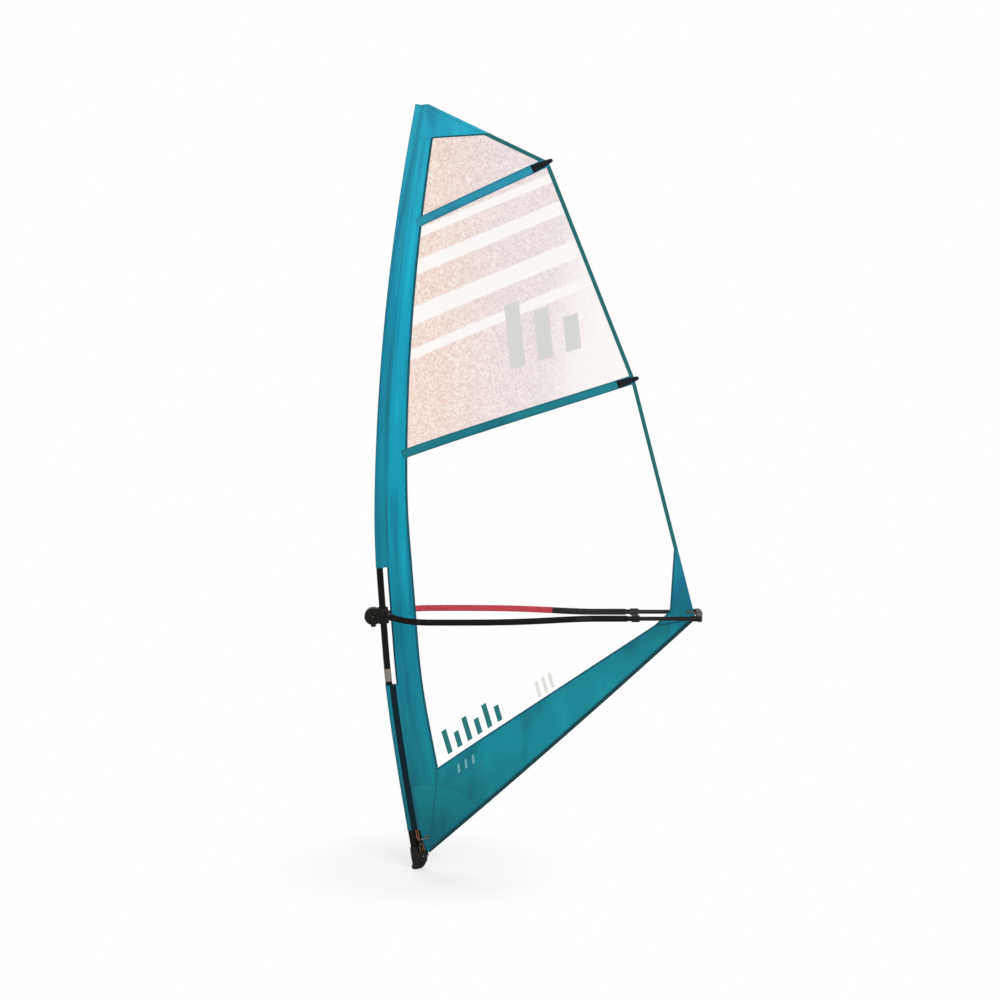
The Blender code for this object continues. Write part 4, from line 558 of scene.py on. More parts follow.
@dataclass(frozen=True)
class FoamSkin(Dyed):
    """Grip foam: a knurl of small diamonds, open pores, rubbed along the top."""

    diamond: float = 0.0042

    def paint(self, graph: Graph) -> Material:
        """Diamonds from two crossed sets of lines on the grip's own map, with painted shade along the
        grooves.
        """
        *_, spot = graph.place()
        across, along = graph.along("cloth")
        crossed = [(way * (math.pi / self.diamond)).sine() for way in (along + across, along - across)]
        knurl = abs(crossed[0] * crossed[1])
        pores = graph.cells(spot, 1400.0, "Distance").rise(0.1, 0.5)
        cloud = graph.noise(spot, 22.0, 3.0)
        # painted shade: the foam is darker along the knurl's grooves, where the bump is lowest
        colour = graph.blend(knurl.rise(0.25, 0.0) * 0.5, self.colour, self.toned(0.55))
        colour = graph.blend(cloud.rise(0.5, 0.75) * 0.4, colour, self.toned(1.35, 0.015))
        normal = graph.bump(knurl * 0.7 + pores * 0.3, 0.0005, 0.7)
        return graph.finished(colour, cloud * 0.1 + 0.78, normal, Specular_IOR_Level=0.12)


@dataclass(frozen=True)
class Braid(Dyed):
    """Braided polyester line with a fleck."""

    fleck: Colour
    strands: float = 8.0
    lay: float = 0.0052

    def paint(self, graph: Graph) -> Material:
        """Crossed strands on the line's own map; every fourth one has the fleck's colour. Painted shade
        darkens the gaps between strands, and noise adds dirt.
        """
        *_, spot = graph.place()
        turn, along = graph.along("cloth")
        round_it, down_it = turn * self.strands, along * (1.0 / self.lay)
        right, left = ((way * math.tau).sine() for way in (round_it + down_it, round_it - down_it))
        plait = right * left * 0.5 + 0.5
        fleck = ((turn * 2.0 + along * (0.25 / self.lay)) * math.tau).sine().rise(0.75, 0.9)
        dirt = graph.noise(spot, 90.0, 3.0)
        colour = graph.blend(fleck, self.colour, self.fleck)
        # painted shade between the strands, where the plait is low, plus dirt from noise
        colour = graph.blend(plait.rise(0.45, 0.1) * 0.55 + dirt * 0.25, colour, self.toned(0.45))
        fibres = graph.noise(spot, 2600.0, 2.0)
        normal = graph.bump(plait * 0.7 + fibres * 0.3, 0.0003, 0.8)
        return graph.finished(colour, 0.82, normal, Specular_IOR_Level=0.12)


@dataclass(frozen=True)
class TapeWrap(Dyed):
    """Adhesive tape wound round the mast's joint, its edges a little dirty."""

    turn_height: float = 0.019
    axis_x: float = -0.113
    lap_line: float = 0.0016
    wrinkles: Triple = (240.0, 240.0, 60.0)

    def paint(self, graph: Graph) -> Material:
        """Overlap lines once a turn, and wrinkles between them."""
        x, y, z, spot = graph.place()
        turn = graph.math("ARCTAN2", y, x - self.axis_x)
        edge = ((z + turn * (self.turn_height / math.tau)) % self.turn_height).rise(self.lap_line, 0.0)
        wrinkle = graph.noise(spot, self.wrinkles, 3.0)
        colour = graph.blend(edge * 0.7 + wrinkle * 0.3, self.colour, self.toned(0.55))
        normal = graph.bump(wrinkle * 0.5 + edge * 0.5, 0.0002, 0.7)
        return graph.finished(colour, 0.55, normal, Specular_IOR_Level=0.15)


# Cloth tones by height: each panel's own teal, with painted shading that makes it darker low down and paler
# high up.
SLEEVE_CLOTH = SailCloth("sleeve_cloth_finish", tones(
    (0.20, 22, 104, 114), (0.65, 22, 118, 132), (1.00, 20, 128, 148), (1.70, 18, 128, 152),
    (2.80, 22, 138, 168), (3.50, 38, 158, 184)))
BAND_CLOTH = SailCloth("luff_cloth_finish", tones(
    (0.20, 14, 112, 124), (0.70, 14, 128, 144), (1.20, 14, 134, 158), (1.75, 12, 152, 178),
    (2.80, 18, 162, 192), (3.40, 34, 168, 194)), fore_shade=0.45)
FOOT_CLOTH = SailCloth("foot_cloth_finish", tones(
    (0.20, 14, 98, 110), (0.60, 20, 134, 149), (0.95, 23, 134, 149), (1.15, 20, 122, 136)),
    streak=0.2, lane=8.0, marked=True)
HEAD_CLOTH = SailCloth("head_cloth_finish", tones((3.50, 34, 162, 196), (3.70, 42, 166, 194)),
                       streak=0.2, lane=8.0)
CLEW_CLOTH = SailCloth("clew_cloth_finish", tones(
    (1.20, 22, 124, 140), (1.40, 20, 134, 164), (1.60, 36, 134, 146)), streak=0.2, lane=8.0)
POCKET_CLOTH = SailCloth("pocket_cloth_finish", tones(
    (2.10, 26, 120, 132), (2.40, 34, 128, 142), (3.20, 44, 148, 174)), 0.6, 0.2)
PATCH_CLOTH = SailCloth("corner_cloth_finish", tones(
    (0.15, 14, 102, 113), (0.50, 20, 130, 144), (1.20, 22, 134, 154)), streak=0.2, lane=8.0)
SEAM_TAPE = EdgeCloth("seam_tape_finish", dye(18, 92, 108))
BINDING = EdgeCloth("binding_finish", dye(14, 52, 68))
STRIP = EdgeCloth("sleeve_strip_finish", dye(2, 32, 40))
# The foot flap's dark brown is partly painted shade: it stands for the shadow round the tack block as well as
# dark fittings.
FLAP_AND_SHADE = EdgeCloth("foot_flap_and_shade_finish", dye(26, 22, 16), 0.0012)
LEECH_TAPE = EdgeCloth("leech_tape_finish", dye(40, 112, 114))
FOOT_TAPE = EdgeCloth("foot_tape_finish", dye(18, 66, 72))
THREAD = EdgeCloth("thread_finish", dye(58, 134, 146), 0.0008)
CLEAR = Film("clear_film_finish")
BLUSH = Film("printed_film_finish", Print.FULL)
BANDED = Film("banded_film_finish", Print.BANDS)
NYLON = Moulding("black_nylon_finish", dye(18, 17, 13))
ACETAL = Moulding("pulley_finish", dye(24, 24, 24), 0.30, 1400.0, 0.2)
RUBBER = Moulding("rubber_finish", dye(20, 20, 20), 0.80, 500.0, 0.15)
CAP_NYLON = Moulding("cap_nylon_finish", dye(8, 14, 24), 0.40, 1100.0, 0.2)
MAST = MastTube("mast_finish", dye(9, 9, 4))
STEEL = Metal("stainless_finish", dye(150, 150, 146), 0.30, 1.0)
RING_STEEL = Metal("ring_finish", dye(96, 94, 86), 0.42, 1.0)
ALLOY = Metal("black_alloy_finish", dye(17, 16, 13), 0.45, 0.0, 0.14)
BATTEN = Metal("batten_finish", dye(196, 188, 150), 0.45, 0.0, 0.3)
BLACK_FOAM = FoamSkin("black_foam_finish", dye(20, 17, 14))
RED_FOAM = FoamSkin("red_foam_finish", dye(196, 58, 74))
ROPE = Braid("rope_finish", dye(134, 104, 78), dye(160, 92, 66))
JOINT_TAPE = TapeWrap("joint_tape_finish", dye(136, 130, 122))


# Meshes from arrays


class Skin:
    """Collects lattices of points, then becomes one closed mesh at the origin."""

    def __init__(self) -> None:
        """Start with nothing."""
        self.points: list[Array] = []
        self.faces: list[Array] = []
        self.maps: list[Array] = []
        self.count = 0

    def add(self, lattice: Array) -> Array:
        """Store points of shape (..., 3); returns their numbers in the same layout."""
        numbers = np.arange(lattice[..., 0].size).reshape(lattice.shape[:-1]) + self.count
        self.points.append(lattice.reshape(-1, 3))
        self.count += numbers.size
        return numbers

    def cover(self, numbers: Array, chart: Array) -> None:
        """Quads over a lattice of point numbers, with a chart of 4 map numbers for each."""
        def corners(table: Array) -> Array:
            return np.stack((table[:-1, :-1], table[:-1, 1:], table[1:, 1:], table[1:, :-1]), axis=2)

        self.faces.append(corners(numbers).reshape(-1, 4))
        self.maps.append(corners(chart).reshape(-1, 4, 4))

    def lid(self, ring: Array, centre: Array, chart: Array) -> None:
        """Close a ring with triangles to a point in its middle."""
        middle = self.add(centre.reshape(1, 3))
        fan = np.stack((ring, np.roll(ring, -1), np.full_like(ring, middle[0])), axis=1)
        self.faces.append(fan)
        self.maps.append(np.stack((chart, np.roll(chart, -1, 0), chart), axis=1))

    def join(self, other: "Skin") -> None:
        """Take in another skin's lattices."""
        self.points += other.points
        self.faces += [faces + self.count for faces in other.faces]
        self.maps += other.maps
        self.count += other.count

    def build(self, name: str, finish: Finish, sharp: float = 50.0) -> Piece:
        """Make the object.

        Args:
            name: the piece's name.
            finish: its material.
            sharp: faces that meet at more than this many degrees keep their edge.

        Returns:
            A closed piece whose faces point outwards.
        """
        points = np.concatenate(self.points)
        loops = np.concatenate([f.ravel() for f in self.faces])
        sizes = np.concatenate([np.full(len(f), f.shape[1]) for f in self.faces])
        chart = np.concatenate([m.reshape(-1, 4) for m in self.maps])
        mesh = bpy.data.meshes.new(name)
        mesh.vertices.add(len(points))
        mesh.vertices.foreach_set("co", points.ravel())
        mesh.loops.add(len(loops))
        mesh.loops.foreach_set("vertex_index", loops)
        mesh.polygons.add(len(sizes))
        mesh.polygons.foreach_set("loop_start", np.concatenate(([0], np.cumsum(sizes)[:-1])))
        for word, part in (("cloth", chart[:, :2]), ("seam", chart[:, 2:])):
            layer = mesh.uv_layers.new(name=word)
            layer.uv.foreach_set("vector", part.ravel())
        mesh.update(calc_edges=True)
        mesh.validate()
        bm = bmesh.new()
        bm.from_mesh(mesh)
        bmesh.ops.recalc_face_normals(bm, faces=bm.faces)
        bm.to_mesh(mesh)
        bm.free()
        mesh.shade_smooth()
        mesh.set_sharp_from_angle(angle=math.radians(sharp))
        mesh.materials.append(finish.material())
        return placed(name, mesh)


def placed(name: str, data: bpy.types.ID) -> Piece:
    """A new object in the scene."""
    thing = bpy.data.objects.new(name, data)
    bpy.context.scene.collection.objects.link(thing)
    return thing


def rim(table: Array) -> Array:
    """The outer entries of a table, once round from its first corner."""
    return np.concatenate((table[0, :-1], table[:-1, -1], table[-1, :0:-1], table[::-1, 0]))


def wrapped(numbers: Array) -> Array:
    """Rings of point numbers with each ring's first number again at its end."""
    return np.concatenate((numbers, numbers[:, :1]), axis=1)


def sheet_skin(front: Array, back: Array, chart: Array) -> Skin:
    """A closed sheet, from the lattices of its two faces and the chart that they share."""
    skin = Skin()
    near, far = skin.add(front), skin.add(back)
    skin.cover(near, chart)
    skin.cover(far[:, ::-1], chart[:, ::-1])
    skin.cover(np.stack((rim(far), rim(near))), np.stack((rim(chart), rim(chart))))
    return skin


def ring_skin(rings: Array, chart: Array, middles: Array) -> Skin:
    """A closed bar, from rings of points and the middles of its two lids."""
    skin = Skin()
    numbers = skin.add(rings)
    skin.cover(wrapped(numbers), chart)
    for end in (0, -1):
        skin.lid(numbers[end], middles[end], chart[end, :-1])
    return skin


def pipe_skin(outer: Array, inner: Array, chart: Array, capped: bool = False) -> Skin:
    """A pipe, from the rings of its two walls; its far end is open or has a cap on each wall."""
    skin = Skin()
    shell, bore = skin.add(outer), skin.add(inner)
    skin.cover(wrapped(shell), chart)
    skin.cover(wrapped(bore)[:, ::-1], chart)
    skin.cover(wrapped(np.stack((bore[0], shell[0]))), chart[:2])
    if not capped:
        skin.cover(wrapped(np.stack((shell[-1], bore[-1]))), chart[-2:])
        return skin
    for wall, points in ((shell, outer), (bore, inner)):
        skin.lid(wall[-1], points[-1].mean(axis=0), chart[-1, :-1])
    return skin


def ridden(piece: Piece, body: str, slot: str, *nodes: str) -> Piece:
    """Make a piece ride on a body and hide the nodes it stands for."""
    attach(piece, body)
    if nodes:
        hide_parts(*nodes)
    LOG.info("%s: %d faces on %s", piece.name, len(piece.data.polygons), body)
    return piece


def charted(across: Array, along: Array, edge: Array | float = 1.0) -> Array:
    """Join map numbers into a chart: across, along, distance from the edge, along."""
    across, along = np.broadcast_arrays(across, along)
    return np.stack((across, along, np.broadcast_to(edge, across.shape), along), axis=-1)


def belt(girth: float, sides: int, along: Array) -> Array:
    """A chart for rings: even shares of a girth round each, and the distance along."""
    return charted(np.linspace(0.0, girth, sides + 1)[None], along[:, None])


def unit(vectors: Array) -> Array:
    """Vectors at length 1."""
    return vectors / np.maximum(np.linalg.norm(vectors, axis=-1, keepdims=True), 1e-12)


def mix(first: Array | float, second: Array | float, share: Array | float) -> Array:
    """What lies a share of the way from the first to the second."""
    return first * (1 - share) + second * share


def smooth(share: Array) -> Array:
    """A share eased at both ends."""
    return share * share * (3 - 2 * share)


def even(count: int) -> Array:
    """Even shares from 0 to 1."""
    return np.linspace(0.0, 1.0, count)


def turns(sides: int) -> Array:
    """Angles of a ring's points."""
    return np.arange(sides) * (math.tau / sides)


def snug_box(flat: Array) -> tuple[float, float]:
    """Sides of the smallest rectangle, turned any way, that flat places fit in."""
    angle = np.linspace(0.0, math.pi / 2, 91)[:, None]
    x, z = flat[..., 0].ravel()[None], flat[..., 1].ravel()[None]
    sides = np.stack([np.ptp(x * np.cos(angle + turn) + z * np.sin(angle + turn), axis=1)
                      for turn in (0.0, math.pi / 2)], axis=1)
    best = sides[np.argmin(sides.prod(axis=1))]
    return float(best.min()), float(best.max())


def surface_area(points: Array) -> float:
    """Area of a lattice: half the cross product of each cell's diagonals."""
    first, second = points[1:, 1:] - points[:-1, :-1], points[1:, :-1] - points[:-1, 1:]
    return float(np.linalg.norm(np.cross(first, second), axis=2).sum() / 2)


def path_lengths(points: Array, axis: int = 0) -> Array:
    """Distance along a row of points, or along each row of a lattice, from 0."""
    sums = np.cumsum(np.linalg.norm(np.diff(points, axis=axis), axis=-1), axis=axis)
    return np.concatenate((np.zeros_like(sums.take([0], axis)), sums), axis=axis)


def sampled(row: Array, knots: Sequence[float] | Array, places: Array) -> Array:
    """A row of points read at places between its knots."""
    return np.stack([np.interp(places, knots, part) for part in row.T], axis=1)


def spaced(points: Array, step: float) -> Array:
    """The same path at even steps, joined by straight lines."""
    lengths = path_lengths(points)
    count = max(2, int(math.ceil(lengths[-1] / step)) + 1)
    return sampled(points, lengths, np.linspace(0.0, lengths[-1], count))


def rounded(points: Array, step: float) -> Array:
    """A smooth curve through given points.

    Each stretch is the Catmull-Rom cubic of its four nearest points, taken at even
    parameters and then at even steps of length.
    """
    ends = np.vstack((2 * points[0] - points[1], points, 2 * points[-1] - points[-2]))
    a, b, c, d = (ends[k:len(ends) - 3 + k, None] for k in range(4))
    t = np.linspace(0.0, 1.0, 24, endpoint=False)[None, :, None]
    curve = 0.5 * (2 * b + (c - a) * t + (2 * a - 5 * b + 4 * c - d) * t ** 2
                   + (3 * b - a - 3 * c + d) * t ** 3)
    return spaced(np.vstack((curve.reshape(-1, points.shape[1]), points[-1:])), step)


def sideways(path: Array) -> Array:
    """Unit vectors to the left of a flat path."""
    heading = unit(np.gradient(path, axis=0))
    return np.stack((-heading[:, 1], heading[:, 0]), axis=1)


def carried(path: Array) -> tuple[Array, Array]:
    """Two directions across a path that don't twist along it.

    Each point takes any direction square to the path; the angle by which its neighbour's
    direction differs is summed along the path and turned back.

    Args:
        path: points in a row.

    Returns:
        Two arrays of unit vectors square to the path and to each other.
    """
    heading = unit(np.gradient(path, axis=0))
    axis = np.eye(3)[np.argmin(np.abs(heading), axis=1)]
    first = unit(np.cross(heading, axis))
    second = np.cross(heading, first)
    moved = first[:-1] - heading[1:] * np.sum(first[:-1] * heading[1:], axis=1, keepdims=True)
    turn = np.arctan2(np.sum(moved * second[1:], axis=1), np.sum(moved * first[1:], axis=1))
    angle = np.concatenate(([0.0], np.cumsum(turn)))[:, None]
    return (first * np.cos(angle) + second * np.sin(angle),
            second * np.cos(angle) - first * np.sin(angle))


def circles(path: Array, first: Array, second: Array, radius: Array) -> Array:
    """Rings round a path, in two directions across it, with a radius for every point."""
    turn = turns(radius.shape[1])[None, :, None]
    out = first[:, None] * np.cos(turn) + second[:, None] * np.sin(turn)
    return path[:, None] + out * radius[..., None]


def swelled(base: Array, proud: Array) -> Array:
    """Rings of a flat section: its places moved to port, then back along them to starboard."""
    port, starboard = base.copy(), base.copy()
    port[..., 1] -= proud
    starboard[..., 1] += proud
    return np.concatenate((port, starboard[:, ::-1]), axis=1)


def tube(path: Array, radius: Array | float, sides: int) -> Skin:
    """A round bar: a circle of the given radius carried along a path, closed by two lids."""
    reach = np.broadcast_to(radius, (len(path), sides))
    return ring_skin(circles(path, *carried(path), reach), belt(1.0, sides, path_lengths(path)), path)


# The sail's shape


def shifted(line: Line, distance: float) -> Line:
    """A line moved to its left."""
    (x0, z0), (x1, z1) = line
    length = math.hypot(x1 - x0, z1 - z0)
    dx, dz = -(z1 - z0) / length * distance, (x1 - x0) / length * distance
    return (x0 + dx, z0 + dz), (x1 + dx, z1 + dz)


def meet(first: Line, second: Line) -> Point:
    """Where two endless lines cross."""
    (x1, z1), (x2, z2) = first
    (x3, z3), (x4, z4) = second
    det = (x1 - x2) * (z3 - z4) - (z1 - z2) * (x3 - x4)
    a, b = x1 * z2 - z1 * x2, x3 * z4 - z3 * x4
    return ((a * (x3 - x4) - (x1 - x2) * b) / det, (a * (z3 - z4) - (z1 - z2) * b) / det)


def walk(points: Sequence[Point], shares: Array, knots: Sequence[float] | None = None) -> Array:
    """Places on a broken line, by share of its length or between given knots."""
    row = np.array(points)
    if knots is None:
        lengths = path_lengths(row)
        knots = lengths / lengths[-1]
    return sampled(row, knots, shares)


@dataclass(frozen=True)
class MastLine:
    """The bent mast: its axis is the integral of a slope that runs straight between heights."""

    heights: tuple[float, ...] = (0.0, 0.350, 0.700, 1.102, 1.402, 1.796, 3.800)
    slopes: tuple[float, ...] = (-0.162, -0.162, -0.140, -0.070, -0.070, 0.016, 0.200)
    radius: float = 0.0163
    tip_radius: float = 0.0092
    taper_z: float = 1.9
    top_z: float = 3.680

    def slope(self, z: Array) -> Array:
        """dx/dz at a height."""
        return np.interp(z, self.heights, self.slopes)

    def axis(self, z: Array) -> Array:
        """x of the axis: in each stretch a parabola from the stretch's start."""
        z = np.asarray(z, float)
        knots, slopes = np.array(self.heights), np.array(self.slopes)
        spans = np.diff(knots)
        starts = np.concatenate(([0.0], np.cumsum((slopes[:-1] + slopes[1:]) / 2 * spans)))
        k = np.clip(np.searchsorted(knots, z, side="right") - 1, 0, len(spans) - 1)
        rise = z - knots[k]
        return starts[k] + slopes[k] * rise + (slopes[k + 1] - slopes[k]) / spans[k] * rise ** 2 / 2

    def thickness(self, z: Array) -> Array:
        """Outer radius: parallel, then a straight taper to the tip."""
        share = np.clip((z - self.taper_z) / (self.top_z - self.taper_z), 0.0, 1.0)
        return mix(self.radius, self.tip_radius, share)

    def at_foot(self, points: Array) -> Array:
        """Points of the upright mast foot, turned to the mast's lean there."""
        lean = math.atan(self.slopes[0])
        x, y, z = points[..., 0], points[..., 1], points[..., 2]
        return np.stack((x * math.cos(lean) + z * math.sin(lean), y,
                         z * math.cos(lean) - x * math.sin(lean)), axis=-1)

    def beside(self, z: Array, out: Array, side: Array) -> Array:
        """Points beside the axis at height z: out aft, side to starboard."""
        lean = np.arctan(self.slope(z))
        return np.stack(np.broadcast_arrays(self.axis(z) + out * np.cos(lean), side,
                                            z - out * np.sin(lean)), axis=-1)


@dataclass(frozen=True)
class SailShape:
    """Outline and belly of the sail, from the same sizes as the solids."""

    mast: MastLine = MastLine()
    fit: float = 0.0003
    cloth: float = 0.0012
    film: float = 0.0006
    cutout: tuple[float, float] = (0.910, 1.485)
    sleeve_foot_z: float = 0.190
    top_z: float = 3.7016
    sleeve_tail: tuple[float, float] = (0.040, 0.030)
    band_heights: tuple[float, ...] = (0.0, 0.52, 0.95, 1.50, 1.82, 2.42, 3.22, 3.80)
    band_widths: tuple[float, ...] = (0.215, 0.194, 0.176, 0.171, 0.156, 0.138, 0.118, 0.102)
    leech_1: Point = (0.632, 3.432)
    leech_2: Point = (1.045, 2.398)
    clew: Point = (1.3461, 1.233)
    tack: Point = (0.0587, 0.0753)
    tack_nose: Point = (0.0400, 0.0900)
    foot_round: float = 0.009
    draft: float = 0.045
    flat_corner: float = 0.140
    corner_fade: float = 0.450
    ripple: float = 0.0007
    ripple_reach: float = 0.11
    head_width: float = 0.022
    head_low: Point = (3.540, 0.065)
    foot_window_z: float = 0.489
    foot_window_aft: Point = (1.153, 1.201)
    clew_inner: Point = (1.225, 1.270)
    clew_top_z: float = 1.573
    tape: float = 0.015
    tape_lap: float = 0.004
    foot_tape: float = 0.018
    batten_slopes: tuple[float, float] = (0.468, 0.330)
    pocket_half: float = 0.0215
    cap_inside: float = 0.088

    def seam_offset(self, z: Array) -> Array:
        """Mast axis to the sleeve's aft seam."""
        share = np.clip((z - self.cutout[1]) / (self.top_z - self.cutout[1]), 0.0, 1.0)
        return mix(*self.sleeve_tail, share)

    def seam_x(self, z: Array) -> Array:
        """The sleeve seam as an upright outline."""
        return self.mast.axis(z) + self.seam_offset(z) / np.cos(np.arctan(self.mast.slope(z)))

    def seam(self, z: Array) -> Array:
        """Places on the sleeve's seam at given heights."""
        return np.stack((self.seam_x(z), z), axis=1)

    def band_x(self, z: Array) -> Array:
        """Aft edge of the luff band: the sleeve's front plus a smooth width.

        The width is a cubic between given heights whose slopes are those of the chords
        between the neighbours.
        """
        z = np.asarray(z, float)
        places, widths = np.array(self.band_heights), np.array(self.band_widths)
        k = np.clip(np.searchsorted(places, z, side="right") - 1, 0, len(places) - 2)
        low, high = np.maximum(k - 1, 0), np.minimum(k + 2, len(places) - 1)
        slope_0 = (widths[k + 1] - widths[low]) / (places[k + 1] - places[low])
        slope_1 = (widths[high] - widths[k]) / (places[high] - places[k])
        span = places[k + 1] - places[k]
        t = (z - places[k]) / span
        width = (widths[k] * (1 + 2 * t) * (1 - t) ** 2 + widths[k + 1] * t * t * (3 - 2 * t)
                 + span * (slope_0 * t * (1 - t) ** 2 - slope_1 * t * t * (1 - t)))
        front = self.mast.axis(z) - (self.mast.thickness(z) + self.fit + self.cloth)
        return front + width

    @property
    def head(self) -> Point:
        """The sail's top corner."""
        return float(self.seam_x(self.top_z)) + self.head_width, self.top_z

    def edge_x(self, z: Array) -> Array:
        """Outer edge at a height, straight between the corners."""
        corners = np.array((self.tack, self.clew, self.leech_2, self.leech_1, self.head))
        return np.interp(z, corners[:, 1], corners[:, 0])

    def belly(self, x: Array, z: Array) -> Array:
        """How far the cloth stands to starboard.

        A cubic across the chord that is most at a third of it, faded to nothing at the
        flat corners, plus faint ripples: two crossed sines that die away from the luff.
        """
        z = np.maximum(z, self.tack[1] + 0.001)
        seam = self.seam_x(z)
        chord = np.maximum(self.edge_x(z) - seam, 0.001)
        u = np.clip((x - seam) / chord, 0.0, 1.0)
        depth = self.draft * chord * (27 / 4) * u * (1 - u) ** 2
        flat = np.ones_like(depth)
        for corner in (self.tack, self.clew):
            reach = np.hypot(x - corner[0], z - corner[1])
            flat = flat * smooth(np.clip((reach - self.flat_corner) / self.corner_fade, 0.0, 1.0))
        ripple = np.sin(z * 61.0 + np.sin(z * 13.0) * 1.7) * np.sin(z * 23.0 + x * 9.0)
        fade = np.exp(-np.clip(x - seam, 0.0, 1.0) / self.ripple_reach)
        return depth * flat + self.ripple * ripple * fade * flat

    def laid(self, flat: Array, side: float = 0.0) -> Array:
        """Points (x, z) put on the sail's surface, side metres to starboard of its middle."""
        x, z = flat[..., 0], flat[..., 1]
        return np.stack((x, self.belly(x, z) + side, z), axis=-1)

    @property
    def leeches(self) -> tuple[Line, Line, Line]:
        """The three straight stretches of the aft edge, from the top."""
        return ((self.head, self.leech_1), (self.leech_1, self.leech_2), (self.leech_2, self.clew))

    @property
    def foot_window(self) -> Line:
        """Lower edge of the main window."""
        z = self.foot_window_z
        return (float(self.band_x(z)), z), self.foot_window_aft

    @property
    def clew_level(self) -> Line:
        """Upper edge of the clew panel."""
        return (0.0, self.clew_top_z), (1.0, self.clew_top_z)

    @property
    def head_edge(self) -> Line:
        """Lower edge of the head panel."""
        z, rise = self.head_low
        x = float(self.seam_x(z))
        return (x, z), (x + 1.0, z + rise)

    def on_band(self, line: Line, gap: float = 0.0) -> Point:
        """Where a line crosses the luff band's aft edge."""
        (x0, z0), (x1, z1) = line
        z = z0
        for _ in range(40):
            z = z0 + (z1 - z0) * (float(self.band_x(z)) + gap - x0) / (x1 - x0)
        return float(self.band_x(z)) + gap, z

    def pocket(self, n: int, rise: float = 0.0) -> Line:
        """Batten n's line from the luff band to the leech, moved up by rise."""
        corner = (self.leech_1, self.leech_2)[n]
        line = (corner[0] - 1.0, corner[1] - self.batten_slopes[n]), corner
        return shifted((self.on_band(line), corner), rise)

    def band(self, z: Array, gap: float = 0.0) -> Array:
        """Places at given heights, gap aft of the luff band's edge."""
        return np.stack((self.band_x(z) + gap, z), axis=1)

    def foot(self, inset: float, shares: Array) -> Array:
        """The foot's round: a parabola under the line from tack to clew, moved in by inset."""
        start, end = shifted((self.tack, self.clew), inset)
        length = math.dist(self.tack, self.clew)
        bulge = 4 * self.foot_round * shares * (1 - shares)
        across = ((self.clew[1] - self.tack[1]) / length, -(self.clew[0] - self.tack[0]) / length)
        return mix(np.array(start), np.array(end), shares[:, None]) + bulge[:, None] * np.array(across)


# Cloth pieces


@dataclass
class Panel:
    """A sheet between two edge curves, laid on the sail and given its thickness."""

    name: str
    finish: Finish
    slot: str
    first: Array
    second: Array
    half: float
    columns: int
    nodes: tuple[str, ...] = ()

    def lattice(self) -> Array:
        """Flat places (x, z): straight lines from each point of first to its like in second."""
        share = even(self.columns + 1)[None, :, None]
        return mix(self.first[:, None], self.second[:, None], share)

    def chart(self, flat: Array) -> Array:
        """Real distances across and along the sheet, and from its nearest edge."""
        across, along = path_lengths(flat, axis=1), path_lengths(flat)
        edge = np.minimum(across, across[:, -1:] - across)
        edge = np.minimum(edge, np.minimum(along, along[-1:] - along))
        return charted(across, along, edge)

    def make(self, shape: SailShape) -> None:
        """Build the closed sheet, hang it on the rig and work out its flat size.

        Args:
            shape: the sail that it lies on.
        """
        flat = self.lattice()
        port, starboard = (shape.laid(flat, side * self.half) for side in (-1, 1))
        skin = sheet_skin(port, starboard, self.chart(flat))
        piece = ridden(skin.build(self.name, self.finish), "rig", self.slot, *self.nodes)
        area = surface_area(shape.laid(flat))
        width, length = snug_box(flat)
        length = max(length, area / width)


@dataclass
class Ribbon:
    """A narrow tape folded or sewn over a seam, standing proud on both faces of the sail."""

    name: str
    finish: Finish
    slot: str
    path: Array
    width: float
    half: float
    nodes: tuple[str, ...] = ()
    step: float = 0.02
    thinned: float = 0.55

    def make(self, shape: SailShape) -> None:
        """Carry a flat section with thinned edges along the seam."""
        path = spaced(self.path, self.step)
        share = np.linspace(-0.5, 0.5, 7)
        flat = path[:, None] + sideways(path)[:, None] * (share * self.width)[None, :, None]
        proud = self.half * (1 - self.thinned * (2 * np.abs(share)) ** 4)[None, :]
        rings = swelled(shape.laid(flat), proud)
        chart = belt(2 * self.width, rings.shape[1], path_lengths(path))
        skin = ring_skin(rings, chart, rings.mean(axis=1))
        ridden(skin.build(self.name, self.finish, 60.0), "rig", self.slot, *self.nodes)


@dataclass
class Stitching:
    """Zigzag thread along a seam, on both faces of cloth that stands half to each side."""

    name: str
    path: Array
    half: float
    swing: float = 0.0022
    pitch: float = 0.0060
    thread: float = 0.00045
    lift: float = 0.0001

    def make(self, shape: SailShape) -> None:
        """Carry a four-sided thread through points that swing from side to side of the seam."""
        path = spaced(self.path, self.pitch / 2)
        swing = self.swing * np.where(np.arange(len(path)) % 2, 1.0, -1.0)[:, None]
        flat = path + sideways(path) * swing
        whole = Skin()
        for side in (-1, 1):
            whole.join(tube(shape.laid(flat, side * (self.half + self.lift)), self.thread, 4))
        ridden(whole.build(self.name, THREAD, 180.0), "rig", "panel_cloth")


